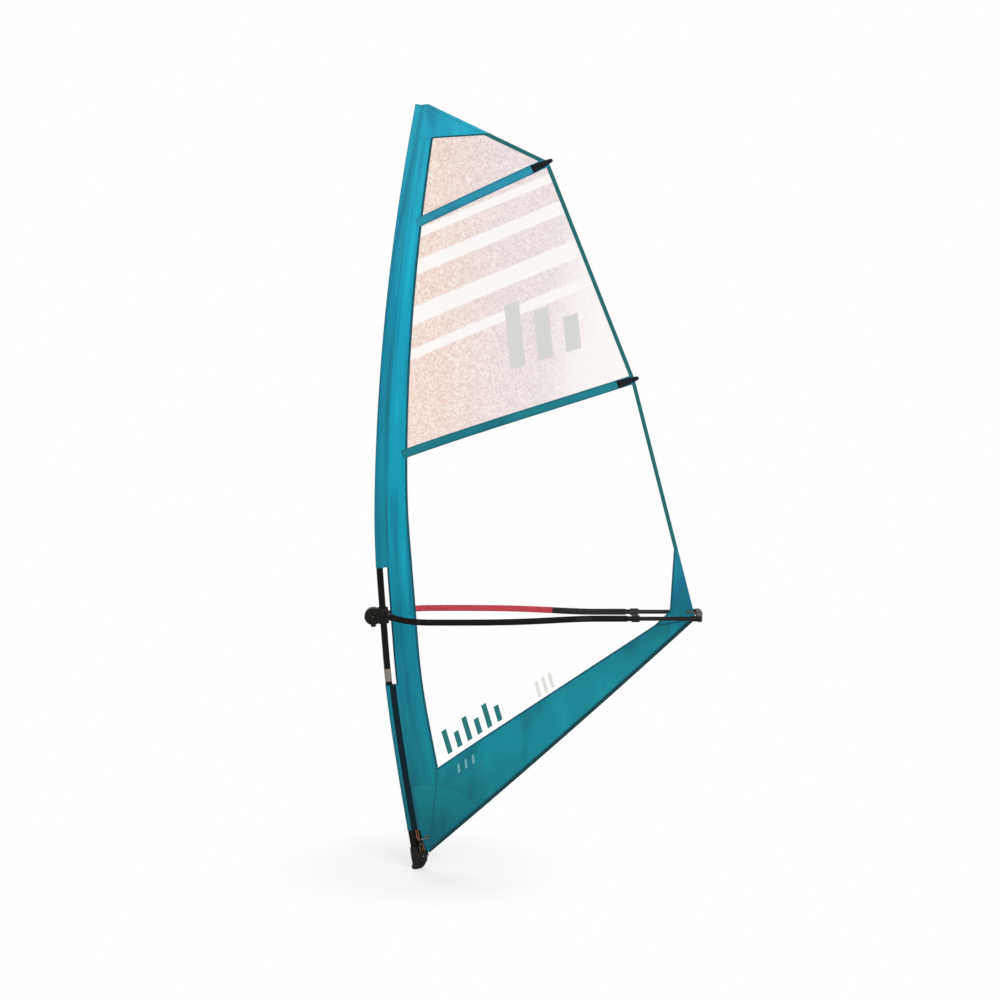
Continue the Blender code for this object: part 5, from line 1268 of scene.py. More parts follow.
@dataclass
class Sleeve:
    """The folded cloth tube that holds the mast, with or without a dark strip on each side."""

    name: str
    low: float
    high: float
    closed_above: float | None = None
    strip: Point | None = None
    rows: float = 0.012
    hem: float = 0.022
    hem_fold: float = 0.0005
    pucker: float = 0.030
    strip_faces: Point = (0.0002, 0.0012)

    def section(self, shape: SailShape, z: Array, grow: Array | float, tail: Array,
                tail_half: float) -> Array:
        """A teardrop round the mast at each height, as places aft and to starboard of its axis.

        The nose is an arc about the mast's axis up to where lines to the tail touch it; the
        walls run straight from there to the tail. Soft puckers lift the walls: a sine of
        height, strongest between mast and tail.
        """
        radius = shape.mast.thickness(np.minimum(z, shape.mast.top_z)) + shape.fit + grow
        lead = np.arccos(np.clip((radius - tail_half) / tail, -1.0, 1.0))[:, None]
        turn = even(33)[None]
        angle = lead + (math.tau - 2 * lead) * turn
        nose = np.stack((radius[:, None] * np.cos(angle), radius[:, None] * np.sin(angle)), axis=-1)
        share = even(9)[None, 1:, None]
        ends = [np.stack((tail, np.full_like(tail, side * tail_half)), axis=-1)[:, None]
                for side in (-1, 1)]
        port = mix(nose[:, -1:], ends[0], share)
        starboard = mix(nose[:, :1], ends[1], share)[:, ::-1]
        section = np.concatenate((starboard, nose, port), axis=1)
        wall = np.sin(even(section.shape[1]) * math.pi * 2) ** 2
        pucker = np.sin(z * 97.0 + 2.0 * np.sin(z * 17.0)) * np.sin(z * 31.0)
        section[..., 1] *= 1 + self.pucker * (pucker[:, None] * wall[None])
        return section

    def strips(self, shape: SailShape, z: Array, section: Array) -> None:
        """A dark band down each wall, between two distances behind the sleeve's front.

        Its places are read off the wall's own section, so that it lies on every pucker, and
        its two faces stand a little off the wall.
        """
        count = section.shape[1]
        places = section[0, count // 2:, 0]
        reach = np.linspace(*self.strip, 13) + places[0]
        number = np.interp(reach, places, np.arange(count // 2, count))
        chart = charted((reach - reach[0])[None], z[:, None])
        for side, word in ((-1, "port"), (1, "starboard")):
            spot = number if side < 0 else count - 1 - number
            k = np.minimum(spot.astype(int), count - 2)
            flat = mix(section[:, k], section[:, k + 1], (spot - k)[None, :, None])
            inner, outer = (shape.mast.beside(z[:, None], flat[..., 0], flat[..., 1] + side * lift)
                            for lift in self.strip_faces)
            ridden(sheet_skin(outer, inner, chart).build(f"sleeve_strip_{word}", STRIP), "rig", "foot_tape")

    def make(self, shape: SailShape) -> None:
        """Outer and inner wall, joined at the ends, and the strips where there are any."""
        closed = self.closed_above is not None
        count = int((self.high - self.low) / self.rows)
        z = np.linspace(self.low, self.high, count)
        from_end = np.minimum(z - self.low, self.high - z)
        grow = shape.cloth + self.hem_fold * ((z - self.low if closed else from_end) < self.hem)
        places = self.section(shape, z, grow, shape.seam_offset(z), shape.cloth + shape.fit)
        outer = shape.mast.beside(z[:, None], places[..., 0], places[..., 1])
        z_in = np.linspace(self.low, self.closed_above, count) if closed else z
        tail = shape.seam_offset(z_in) - 4 * shape.cloth
        hollow = self.section(shape, z_in, 0.0, tail, shape.fit)
        inner = shape.mast.beside(z_in[:, None], hollow[..., 0], hollow[..., 1])
        ring = path_lengths(outer, axis=1)
        ring = np.concatenate((ring, ring[:, -1:] + 2 * (shape.cloth + shape.fit)), axis=1)
        skin = pipe_skin(outer, inner, charted(ring, z[:, None], from_end[:, None]), closed)
        piece = ridden(skin.build(f"{self.name}_cloth", SLEEVE_CLOTH), "rig", "sleeve_cloth", self.name)
        if self.strip is not None:
            self.strips(shape, z, places)


@dataclass
class BattenPocket:
    """A sewn pocket whose middle is raised by the flat batten inside."""

    n: int
    lap: float = 0.024
    wing: float = 0.0013
    crown: float = 0.0030
    core: float = 0.0125
    batten: Point = (0.023, 0.0015)
    batten_end: float = 0.0383
    batten_short: float = 0.006
    slope: float = 0.0045
    run_out: float = 0.014
    batten_lap: float = 0.018
    end_share: float = 0.75
    end_round: float = 0.010

    def make(self, shape: SailShape) -> None:
        """Carry a section along the batten's line, from the leech to its lap on the luff band.

        The section is thin in the sewn wings and rises smoothly over the batten. At the leech
        its end follows the two edges that meet there, under the cap.
        """
        fore, corner = shape.pocket(self.n)
        length = math.dist(fore, corner)
        along = (np.array(fore) - np.array(corner)) / length
        up = np.array((along[1], -along[0]))
        half = shape.pocket_half
        cuts = [float((np.array(meet(shape.pocket(self.n, side * half), leech)) - corner) @ along)
                for side, leech in ((1, shape.leeches[self.n]), (-1, shape.leeches[self.n + 1]))]
        share = np.linspace(-1.0, 1.0, 21)
        start = np.where(share > 0, share * cuts[0], -share * cuts[1])
        runs = np.linspace(0.0, length + self.lap, 110)
        held = np.clip(1 - runs / shape.cap_inside, 0.0, 1.0)
        reach = runs[:, None] + held[:, None] * start[None]
        rounding = np.clip((runs[-1] - runs) / self.end_round, 0.0, 1.0) ** 0.5
        width = half * (self.end_share + (1 - self.end_share) * rounding)
        flat = np.array(corner) + reach[..., None] * along + (share * width[:, None])[..., None] * up
        side = np.clip((half * np.abs(share) - self.core) / self.slope, 0.0, 1.0)[None]
        ends = np.minimum(runs - self.batten_end, length + self.batten_lap - runs) / self.run_out
        rise = (1 - smooth(side)) * smooth(np.clip(ends, 0.0, 1.0)[:, None])
        rings = swelled(shape.laid(flat), mix(self.wing, self.crown, rise))
        around = np.concatenate((share, share[::-1])) * half
        chart = charted(np.append(around, around[0])[None], runs[:, None],
                        np.append(half - np.abs(around), 0.0)[None])
        skin = ring_skin(rings, chart, rings.mean(axis=1))
        name = f"batten_pocket_{self.n + 1}"
        piece = ridden(skin.build(f"{name}_cloth", POCKET_CLOTH, 60.0), "rig", "pocket_cloth", name)
        shares = np.linspace(self.batten_short / length, 1 - self.batten_end / length, 90)
        Ribbon(f"batten_{self.n + 1}_strip", BATTEN, "batten_fibre", walk((fore, corner), shares),
               *self.batten, (f"batten_{self.n + 1}",)).make(shape)


@dataclass
class CornerPatch(Panel):
    """A layer of cloth sewn over a corner, its far edge bowed outwards by a parabola."""

    bow: float = 0.0
    thread_in: float = 0.04

    def lattice(self) -> Array:
        """Straight lines between the two edges, each moved out by its share of the bow."""
        flat = super().lattice()
        away = unit(flat[-1].mean(axis=0) - flat[0].mean(axis=0))
        u = even(flat.shape[1])
        v = even(len(flat))
        return flat + (v[:, None] * 4 * u * (1 - u))[..., None] * self.bow * away

    def make(self, shape: SailShape) -> None:
        """Build the layer and the row of thread inside its far edge."""
        flat = self.lattice()
        seam = mix(flat[-1], flat[-2], self.thread_in)
        Stitching(f"{self.name}_thread", seam, self.half, 0.0018).make(shape)
        super().make(shape)


# Sail


@dataclass
class Sail:
    """The whole sail: panels, windows, tapes, pockets, sleeves and corner patches."""

    shape: SailShape = SailShape()
    row: float = 0.018
    film_lap: float = 0.006
    seam_lift: float = 0.0004
    seam_over: float = 0.004
    binding_over: float = 0.010
    band_seam_in: float = 0.0025
    pocket_thread_in: float = 0.0035
    foot_thread_in: float = 0.004
    patch_in: float = 0.0015

    def rows(self, length: float) -> Array:
        """Even shares for an edge of that length."""
        return even(max(8, int(length / self.row)) + 1)

    def foot_edge(self, shares: Array) -> Array:
        """The foot tape's inner edge, between the seams that end at the tack and the clew.

        Args:
            shares: places along it, from 0 to 1.

        Returns:
            Flat places (x, z).
        """
        s = self.shape
        trial = np.linspace(-0.05, 1.05, 1101)
        places = s.foot(s.foot_tape, trial)
        ends = []
        for start, stop in ((s.foot_window[0], s.tack), (s.foot_window_aft, s.clew)):
            (x, z), (dx, dz) = start, (stop[0] - start[0], stop[1] - start[1])
            beyond = (places[:, 1] - z) * dx - (places[:, 0] - x) * dz
            ends.append(float(np.interp(0.0, beyond, trial)))
        return s.foot(s.foot_tape, ends[0] + (ends[1] - ends[0]) * shares)

    def window(self, name: str, finish: Film, slot: str, low: Line, high: Line, second: Array,
               columns: int) -> None:
        """A sheet of film from the luff band, between two lines, to the places of its aft edge."""
        s = self.shape
        ends = [s.on_band(line, -self.film_lap)[1] for line in (low, high)]
        first = s.band(mix(*ends, even(len(second))), -self.film_lap)
        Panel(f"{name}_film", finish, slot, first, second, s.film / 2, columns, (name,)).make(s)

    def windows(self) -> None:
        """Three windows of film; each runs a little under the cloth and tapes round it."""
        s, lap = self.shape, self.film_lap
        inner = [shifted(line, -s.tape + lap) for line in s.leeches]
        rows = (("top_window", BLUSH, s.pocket(0, s.pocket_half - lap), shifted(s.head_edge, lap), 0.45, 24),
                ("mid_window", BANDED, s.pocket(1, s.pocket_half - lap), s.pocket(0, lap - s.pocket_half),
                 1.2, 40))
        for (name, finish, low, high, length, columns), aft in zip(rows, inner):
            second = walk((meet(low, aft), meet(high, aft)), self.rows(length))
            self.window(name, finish, "printed_film", low, high, second, columns)
        low, high = shifted(s.foot_window, -lap), s.pocket(1, lap - s.pocket_half)
        corner = meet(inner[2], s.clew_level)
        clew_low, clew_high = (shifted(line, -lap) for line in ((s.foot_window_aft, s.clew_inner),
                                                               (s.clew_inner, corner)))
        edge = (meet(low, clew_low), meet(clew_low, clew_high), corner, meet(high, inner[2]))
        second = walk(edge, even(141), (0.0, 2 / 14, 6 / 14, 1.0))
        self.window("main_window", CLEAR, "clear_film", low, high, second, 60)

    def panel(self, word: str, finish: Finish, first: Array, second: Array, columns: int) -> None:
        """A sheet of cloth between two edges."""
        Panel(f"{word}_cloth", finish, "panel_cloth", first, second, self.shape.cloth / 2, columns,
              (f"{word}_panel",)).make(self.shape)

    def panels(self) -> None:
        """Cloth panels: the luff band behind the sleeve, then head, clew and foot."""
        s = self.shape
        z = np.linspace(s.sleeve_foot_z, s.foot_window_z, 17)[1:]
        nose = (float(s.seam_x(s.sleeve_foot_z)), s.sleeve_foot_z)
        fore = np.vstack((walk((s.tack_nose, nose), even(9)), s.seam(z)))
        aft = walk((s.tack, s.foot_window[0]), even(len(fore)))
        high = np.linspace(s.foot_window_z, s.head_low[0], 240)[1:]
        self.panel("luff", BAND_CLOTH, np.vstack((fore, s.seam(high))), np.vstack((aft, s.band(high))), 20)

        fore = s.seam(np.linspace(s.head_low[0], s.top_z, 15))
        aft = walk((meet(s.head_edge, s.leeches[0]), s.head), even(15))
        self.panel("head", HEAD_CLOTH, fore, aft, 20)

        t = even(31)
        corner = meet(shifted(s.leeches[2], -s.tape), s.clew_level)
        fore = walk((s.foot_window_aft, s.clew_inner, corner), t, (0.0, 1 / 3, 1.0))
        self.panel("clew", CLEW_CLOTH, fore, walk((s.clew, meet(s.leeches[2], s.clew_level)), t), 16)

        t = self.rows(1.65)
        self.panel("foot", FOOT_CLOTH, self.foot_edge(t), walk((s.foot_window[0], s.foot_window_aft), t), 20)

    def tapes(self) -> None:
        """Folded tape along leech and foot."""
        s = self.shape
        ends = ((s.head_edge, s.pocket(0, s.pocket_half)),
                (s.pocket(0, -s.pocket_half), s.pocket(1, s.pocket_half)),
                (s.pocket(1, -s.pocket_half), s.clew_level))
        t = self.rows(1.0)
        for word, (above, below), line in zip(("top", "middle", "bottom"), ends, s.leeches):
            edges = [walk((meet(below, edge), meet(above, edge)), t)
                     for edge in (shifted(line, -s.tape - s.tape_lap), line)]
            name = f"leech_tape_{word}"
            Panel(f"{name}_cloth", LEECH_TAPE, "leech_tape", *edges, s.cloth, 6, (name,)).make(s)
        t = self.rows(1.7)
        Panel("foot_tape_cloth", FOOT_TAPE, "foot_tape", s.foot(0.0, t), self.foot_edge(t), s.cloth, 6,
              ("foot_tape",)).make(s)

    def seams(self) -> None:
        """Tapes over the seams, each with its row of zigzag thread."""
        s = self.shape
        t, lift, sleeve = even(200), self.seam_lift, s.cloth / 2 + s.fit
        crossing = s.on_band(s.head_edge)
        corner = meet(shifted(s.leeches[2], -s.tape), s.clew_level)
        luff = mix(s.foot_window_z - self.seam_over, s.head_low[0] + self.seam_over, t)
        binding = mix(s.cutout[0] - self.binding_over, s.cutout[1] + self.binding_over, t)
        runs = (
            ("seam_luff_window", SEAM_TAPE, s.band(luff, -self.band_seam_in), 0.012, lift),
            ("seam_head", SEAM_TAPE, walk((crossing, meet(s.head_edge, s.leeches[0])), t), 0.008, lift),
            ("seam_head_luff", HEAD_CLOTH, walk((s.head_edge[0], crossing), even(60)), 0.008, 0.0003),
            ("seam_foot_window", SEAM_TAPE, walk((s.foot_window[0], s.foot_window_aft), t), 0.009, lift),
            ("seam_clew_window", SEAM_TAPE, walk((s.foot_window_aft, s.clew_inner, corner), t), 0.009,
             0.0005),
            ("seam_tack", BAND_CLOTH, walk((s.tack, s.foot_window[0]), np.linspace(0.06, 1.0, 60)), 0.010,
             0.0009),
            ("seam_clew_foot", SEAM_TAPE, walk((s.foot_window_aft, s.clew), np.linspace(0.0, 0.9, 60)),
             0.010, 0.0006),
            ("seam_sleeve_upper", SLEEVE_CLOTH, s.seam(mix(s.cutout[1], s.top_z - 0.002, t)), 0.016,
             sleeve + lift),
            ("seam_sleeve_lower", SLEEVE_CLOTH, s.seam(mix(s.sleeve_foot_z, s.cutout[0], t)), 0.016,
             sleeve + lift),
            ("luff_binding", BINDING, s.seam(binding), 0.008, 2 * lift),
        )
        for name, finish, path, width, over in runs:
            proud = s.cloth / 2 + over
            Ribbon(name, finish, "panel_cloth", path, width, proud).make(s)
            Stitching(f"{name}_thread", path, proud, width * 0.25).make(s)
        rows = []
        for n in (0, 1):
            share = s.cap_inside / math.dist(*s.pocket(n))
            for side, word in ((-1, "low"), (1, "high")):
                line = s.pocket(n, side * (s.pocket_half - self.pocket_thread_in))
                rows.append((f"pocket_{n + 1}_thread_{word}", walk(line, np.linspace(0.0, 1.0 - share, 80)),
                             BattenPocket.wing))
        for k, (line, end) in enumerate(zip(s.leeches, (0.98, 0.98, 0.72))):
            rows.append((f"leech_thread_{k + 1}", walk(shifted(line, -s.tape), np.linspace(0.02, end, 90)),
                         s.cloth))
        foot = s.foot(s.foot_tape - self.foot_thread_in, np.linspace(0.02, 0.97, 120))
        for name, path, proud in (*rows, ("foot_thread", foot, s.cloth)):
            Stitching(name, path, proud, 0.0016).make(s)

    def sleeves(self) -> None:
        """Upper and lower sleeve, and the dark strip on each side of the lower one."""
        s = self.shape
        Sleeve("sleeve_upper", s.cutout[1], s.top_z, s.top_z - 0.016).make(s)
        Sleeve("sleeve_lower", s.sleeve_foot_z, s.cutout[0], strip=(0.022, 0.051)).make(s)

    def patches(self) -> None:
        """Two layers over the tack and one over the clew, between the corner's two edges."""
        s = self.shape
        inset, edge = self.patch_in, s.foot_tape + 0.0005
        length = math.dist(s.tack, s.clew)
        nose = (s.tack_nose[0] + inset, s.tack_nose[1] + inset)
        low_seam = (float(s.seam_x(s.sleeve_foot_z)) + inset, s.sleeve_foot_z)
        rows = []
        for k, (reach, bow) in enumerate(((0.330, 0.050), (0.210, 0.034))):
            high = s.tack[1] + reach
            luff = walk((nose, low_seam, (float(s.seam_x(high)) + inset, high)), even(24))
            foot = s.foot(edge, np.linspace(0.012, reach / length, 24))
            rows.append((f"tack_patch_{k + 1}", luff, foot, 0.00025 * (k + 1), 20, bow))
        leech = walk(shifted(s.leeches[2], -s.tape + 0.003)[::-1], np.linspace(0.02, 0.145, 16))
        foot = s.foot(edge, np.linspace(0.988, 1 - 0.165 / length, 16))
        rows.append(("clew_patch", leech, foot, 0.0004, 14, 0.016))
        for name, first, second, lift, columns, bow in rows:
            CornerPatch(name, PATCH_CLOTH, "panel_cloth", first, second, s.cloth / 2 + lift, columns,
                        bow=bow).make(s)

    def make(self) -> None:
        """Build every piece of the sail."""
        self.windows()
        self.panels()
        self.tapes()
        self.sleeves()
        for n in (0, 1):
            BattenPocket(n).make(self.shape)
        self.patches()
        self.seams()


# Boom and ropes


@dataclass
class BoomPadding:
    """Foam grips on the arms."""

    mast: MastLine = MastLine()
    boom_z: float = 1.252
    arm_radius: float = 0.0125
    wall: float = 0.0025
    start_aft: float = 0.034
    start_half: float = 0.050
    start_angle: float = math.radians(55)
    widest: Point = (0.100, 0.195)
    parallel: Point = (0.870, 0.092)
    skew: float = 1.8
    end_x: float = 1.055
    socket_grip: float = 0.018
    break_x: float = 0.660
    grip_end_x: float = 1.012
    step: float = 0.004
    sides: int = 40
    rim_length: float = 0.002
    groove: float = 0.0007
    groove_spread: float = 0.01
    bow_pull: float = 0.45

    def centreline(self, side: int) -> Array:
        """The arm's middle: a cubic out of the head, then a half cosine down to parallel.

        Args:
            side: -1 for port, 1 for starboard.

        Returns:
            Points in a row at even steps.
        """
        start = np.array((float(self.mast.axis(self.boom_z)) + self.start_aft, self.start_half))
        heading = np.array((math.cos(self.start_angle), math.sin(self.start_angle)))
        widest = np.array(self.widest)
        reach = np.linalg.norm(widest - start) * self.bow_pull
        first = start + heading * self.socket_grip * 0.6
        t = even(40)[:, None]
        bow = (first * (1 - t) ** 3 + (first + heading * reach) * 3 * t * (1 - t) ** 2
               + (widest - (reach, 0.0)) * 3 * t * t * (1 - t) + widest * t ** 3)
        x = np.linspace(self.widest[0], self.parallel[0], 120)[1:]
        share = ((x - self.widest[0]) / (self.parallel[0] - self.widest[0])) ** self.skew
        mean, swing = (self.widest[1] + self.parallel[1]) / 2, (self.widest[1] - self.parallel[1]) / 2
        run = np.stack((x, mean + swing * np.cos(math.pi * share)), axis=1)
        flat = np.vstack((bow, run, ((self.end_x, self.parallel[1]),)))
        path = np.stack((flat[:, 0], side * flat[:, 1], np.full(len(flat), self.boom_z)), axis=1)
        return spaced(path, self.step)

    def grip(self, name: str, side: int, low: float, high: float, finish: Finish, slot: str) -> None:
        """A foam sleeve: a circle carried along the arm, rounded over at both ends.

        A shallow groove along its inner side is the foam's glued seam.
        """
        path = self.centreline(side)
        lengths = path_lengths(path)
        start, stop = np.interp((low, high), path[:, 0], lengths)
        near = self.rim_length * np.array((0.0, 0.4, 1.0))
        places = np.concatenate((start + near, np.arange(start, stop, self.step)[1:], stop - near[::-1]))
        path = sampled(path, lengths, places)
        depth = (1 - np.minimum(places - start, stop - places) / self.rim_length).clip(0)
        rounding = self.wall * (1 - np.sqrt(np.clip(1 - depth ** 2, 0, 1)))
        turn, inward = turns(self.sides), math.pi if side > 0 else 0.0
        away = (turn - inward + math.pi) % math.tau - math.pi
        groove = self.groove * np.exp(-away ** 2 / self.groove_spread)
        outside = self.arm_radius + self.wall
        across = np.pad(sideways(path[:, :2]), ((0, 0), (0, 1)))
        rings = circles(path, across, np.zeros_like(path) + (0.0, 0.0, 1.0),
                        (outside - 0.9 * rounding)[:, None] - groove[None])
        skin = ring_skin(rings, belt(math.tau * outside, self.sides, places), path)
        piece = ridden(skin.build(f"{name}_foam", finish), "boom", slot, name)

    def make(self) -> None:
        """One long grip to port, and a red and a black one to starboard."""
        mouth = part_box("grip_port")[0].x
        self.grip("grip_port", -1, mouth, self.grip_end_x, BLACK_FOAM, "black_foam")
        self.grip("grip_starboard_front", 1, mouth, self.break_x, RED_FOAM, "red_foam")
        self.grip("grip_starboard_rear", 1, self.break_x, self.grip_end_x, BLACK_FOAM, "black_foam")


@dataclass
class Lines:
    """Downhaul and outhaul, on the same routes as their solids.

    The downhaul's tail and a spare loop are tucked up into the sleeve's mouth; their points
    are in the upright mast foot, as the rest of that line.
    """

    mast: MastLine = MastLine()
    radius: float = 0.0019
    track: float = 0.0095
    offset: float = 0.0055
    slot_inner: float = 0.0012
    slot_outer: float = 0.0098
    fit: float = 0.0003
    base: Point = (0.0380, 0.0550)
    tack: Point = (0.0360, 0.1160)
    wall_out: float = 0.0166
    roller: Point = (1.3575, 1.252)
    clew_ring: Point = (1.313, 1.270)
    ring_hole: float = 0.006
    ring_thick: float = 0.006
    tail: tuple[Triple, ...] = (
        (0.0597, 0.0060, 0.0900), (0.0570, 0.0110, 0.1000), (0.0480, 0.0170, 0.1100),
        (0.0345, 0.0182, 0.1240), (0.0265, 0.0155, 0.1420), (0.0225, 0.0095, 0.1600),
        (0.0210, 0.0040, 0.1780), (0.0212, 0.0024, 0.2000), (0.0215, 0.0022, 0.2350))
    loop: tuple[Triple, ...] = (
        (0.0220, -0.0032, 0.2300), (0.0222, -0.0040, 0.1920), (0.0215, -0.0080, 0.1680),
        (0.0225, -0.0125, 0.1480), (0.0275, -0.0145, 0.1390), (0.0325, -0.0140, 0.1470),
        (0.0330, -0.0090, 0.1680), (0.0298, -0.0012, 0.1920), (0.0290, 0.0000, 0.2300))

    def around(self, centre: Point, y: float, start: float, end: float, steps: int = 4) -> Array:
        """Points on a sheave's track, angles in degrees."""
        angle = np.radians(np.linspace(start, end, steps + 1))
        return np.stack((centre[0] + self.track * np.cos(angle), np.full(steps + 1, y),
                         centre[1] + self.track * np.sin(angle)), axis=1)

    def line(self, name: str, points: Array, sides: int = 20) -> Piece:
        """A braided line: its radius swells where strands cross."""
        path = rounded(points, 0.0009)
        turn, lay = 4 * turns(sides)[None], path_lengths(path)[:, None] * (math.tau / ROPE.lay)
        plait = np.sin(turn + lay) * np.sin(turn - lay)
        return tube(path, self.radius * (0.975 + 0.025 * plait), sides).build(name, ROPE, 80.0)

    def downhaul(self) -> None:
        """From its dead end over and under the four sheaves and out to the cleat."""
        (bx, bz), (x, z), off = self.base, self.tack, self.offset
        wall_x = bx + self.wall_out
        cleat_x = wall_x + self.fit + 0.0025 + self.radius + 2 * self.fit
        exit_z = bz - self.track
        dead = bx - (self.track + self.radius + 0.0012) + self.radius + 3 * self.fit
        outer = self.slot_outer - self.radius - self.fit
        inner = self.slot_inner + self.radius + self.fit
        parts = (
            ((dead, -outer, bz + 0.016), (dead - 0.0005, -outer, bz + 0.031),
             (x - self.track, -off, z - 0.012)),
            self.around(self.tack, -off, 180, 0),
            ((bx + self.track, -off, bz + 0.014),),
            self.around(self.base, -off, 0, -180),
            ((bx - self.track, -inner, bz + 0.013), (bx - self.track, -inner * 0.8, bz + 0.026),
             (x - self.track, off * 0.6, z - 0.016)),
            self.around(self.tack, off, 180, 0),
            ((x + 0.003, off, (z + bz) / 2),),
            self.around(self.base, off, 180, 270),
            ((wall_x - 0.004, off, exit_z), (wall_x + 0.0015, off, exit_z + 0.0004),
             (cleat_x, off, exit_z + 0.0040), (cleat_x, off, bz + 0.008), (cleat_x, off, bz + 0.026)),
            self.tail,
        )
        points = np.vstack([np.array(part) for part in parts])
        ridden(self.line("downhaul_braid", self.mast.at_foot(points)), "rig", "rope", "downhaul_line")
        ridden(self.line("downhaul_spare_loop", self.mast.at_foot(np.array(self.loop))), "rig", "rope")

    def bent(self, piece: Piece, still: str, moving: str) -> None:
        """Hide the outhaul's solid, bake a piece of the outhaul into place and log the two bodies it lies
        between.
        """
        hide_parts("outhaul_line")
        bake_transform(piece)
        LOG.info("%s: between %s and %s", piece.name, still, moving)

    def outhaul(self) -> None:
        """A bight through the clew ring, a leg from it round each roller, and the legs' ends.

        The legs' ends ride on the tail; the bight and the legs stay fixed where they are built.
        """
        turn_x = self.clew_ring[0] + self.ring_hole - self.radius - self.fit
        clear = self.ring_thick / 2 + self.radius + 2 * self.fit
        ring_z = self.clew_ring[1]
        bend = np.array((turn_x + 0.0050, ring_z - 0.001))
        top = np.array((self.roller[0], self.roller[1] + self.track))
        low = self.roller[1] - self.track
        leads: list[Array] = []
        for side, word in ((-1, "port"), (1, "starboard")):
            lead = [(turn_x, side * 0.6 * clear, ring_z), (turn_x + 0.0013, side * clear, ring_z),
                    (bend[0], side * (clear + 2 * self.fit), bend[1])]
            for x, z in (mix(bend, top, share) for share in (0.35, 0.55, 0.75)):
                lead.append((x, side * self.offset, z))
            leads.append(np.array(lead[:5]))
            wheel = self.around(self.roller, side * self.offset, 78, -90, 5)
            tail = [(self.roller[0] - 0.008, side * self.offset, low + 0.0006),
                    (self.roller[0] - 0.018, side * self.offset, low + 0.0008)]
            leg = self.line(f"outhaul_leg_{word}", np.vstack((np.array(lead[4:]), wheel)))
            self.bent(leg, "boom", "tail")
            end = self.line(f"outhaul_end_{word}", np.vstack((wheel[-1:], np.array(tail))))
            ridden(end, "tail", "rope", "outhaul_line")
        middle = np.array(((turn_x, 0.0, ring_z),))
        bight = self.line("outhaul_bight", np.vstack((leads[0][::-1], middle, leads[1])))
        self.bent(bight, "rig", "boom")

    def make(self) -> None:
        """Both lines."""
        self.downhaul()
        self.outhaul()


@dataclass
class FootFlap:
    """A dark flap that hangs from the sleeve's mouth over the tack block, on the starboard side; its dark
    colour is partly painted shade, standing for the shadow there as well as dark fittings.

    Its places are in the upright mast foot: aft of the mast's axis, and above the socket.
    """

    mast: MastLine = MastLine()
    front: Point = (0.004, 0.010)
    back: Point = (0.038, 0.070)
    lift: float = 0.002
    low: float = 0.073
    mouth: float = 0.1925
    high: float = 0.220
    drop: float = 0.050
    clear: float = 0.0224
    thick: float = 0.0012
    off_wall: float = 0.0014
    width: float = 0.040
    sleeve_radius: float = 0.0178
    seam: Point = (0.040, 0.0015)

    def wall(self, x: Array) -> Array:
        """Half width of the sleeve: an arc up to where the line to the seam touches it."""
        lead = math.acos((self.sleeve_radius - self.seam[1]) / self.seam[0])
        touch = self.sleeve_radius * math.cos(lead), self.sleeve_radius * math.sin(lead)
        line = touch[1] + (x - touch[0]) * (self.seam[1] - touch[1]) / (self.seam[0] - touch[0])
        return np.where(x < touch[0], np.sqrt(np.maximum(self.sleeve_radius ** 2 - x * x, 0.0)), line)

    def make(self) -> None:
        """From the sleeve's wall the flap swings out, by a smooth step, to clear the block."""
        v, u = np.meshgrid(even(30), even(16), indexing="ij")
        z = mix(self.high, self.low, v)
        x = mix(mix(*self.front, v), mix(*self.back, v), u)
        swing = smooth(np.clip((self.mouth - z) / self.drop, 0.0, 1.0))
        z = z + self.lift * v * u * u
        ripple = 0.0007 * v * np.sin(u * 9.0 + v * 3.0)
        side = mix(self.wall(x) + self.off_wall, self.clear + ripple, swing)
        inner, outer = (self.mast.at_foot(np.stack((x, side + out, z), axis=-1)) for out in (0.0, self.thick))
        skin = sheet_skin(inner, outer, charted(u * self.width, v * (self.high - self.low)))
        piece = ridden(skin.build("foot_flap", FLAP_AND_SHADE), "rig", "foot_tape")


@dataclass
class JointTape:
    """Tape wound round the mast's lowest joint."""

    mast: MastLine = MastLine()
    tape: Point = (0.928, 0.990)
    sides: int = 48
    under: float = 0.00005
    over: float = 0.00035
    step: float = 0.00012
    step_height: float = 0.010

    def make(self) -> None:
        """A thin collar whose outer face steps up a little once a turn."""
        mast, turn, pitch = self.mast, turns(self.sides), JOINT_TAPE.turn_height
        z = np.linspace(*self.tape, 41)
        step = ((z[:, None] + turn[None] * (pitch / math.tau)) % pitch < self.step_height) * self.step
        outer = mast.radius + self.over + step
        inner = np.full_like(outer, mast.radius + self.under)
        rings = [mast.beside(z[:, None], r * np.cos(turn), r * np.sin(turn)) for r in (outer, inner)]
        skin = pipe_skin(*rings, belt(math.tau * (mast.radius + self.over), self.sides, z))
        ridden(skin.build("mast_joint_tape", JOINT_TAPE), "rig", "mast")


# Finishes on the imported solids


class Family(Enum):
    """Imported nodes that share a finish, by the starts of their names."""

    TUBES = (MAST, "mast_section")
    MOULDED = (NYLON, "mast_top_plug", "base_housing", "extension_collar", "tack_block", "boom_head",
               "arm_collar", "boom_tail")
    WHEELS = (ACETAL, "release_button", "base_sheave", "tack_sheave", "outhaul_roller")
    PINS = (STEEL, "base_sheave_axle", "tack_axle", "tack_shackle", "roller_axle")
    RINGS = (RING_STEEL, "tack_ring", "clew_ring", "clamp_bolt", "clamp_nut")
    ALLOYS = (ALLOY, "extension_tube", "downhaul_cleat", "boom_lever", "boom_arm", "collar_clip")
    CAPS = (CAP_NYLON, "batten_cap")
    RODS = (BATTEN, "batten_")
    BUSH = (RUBBER, "boom_bush")


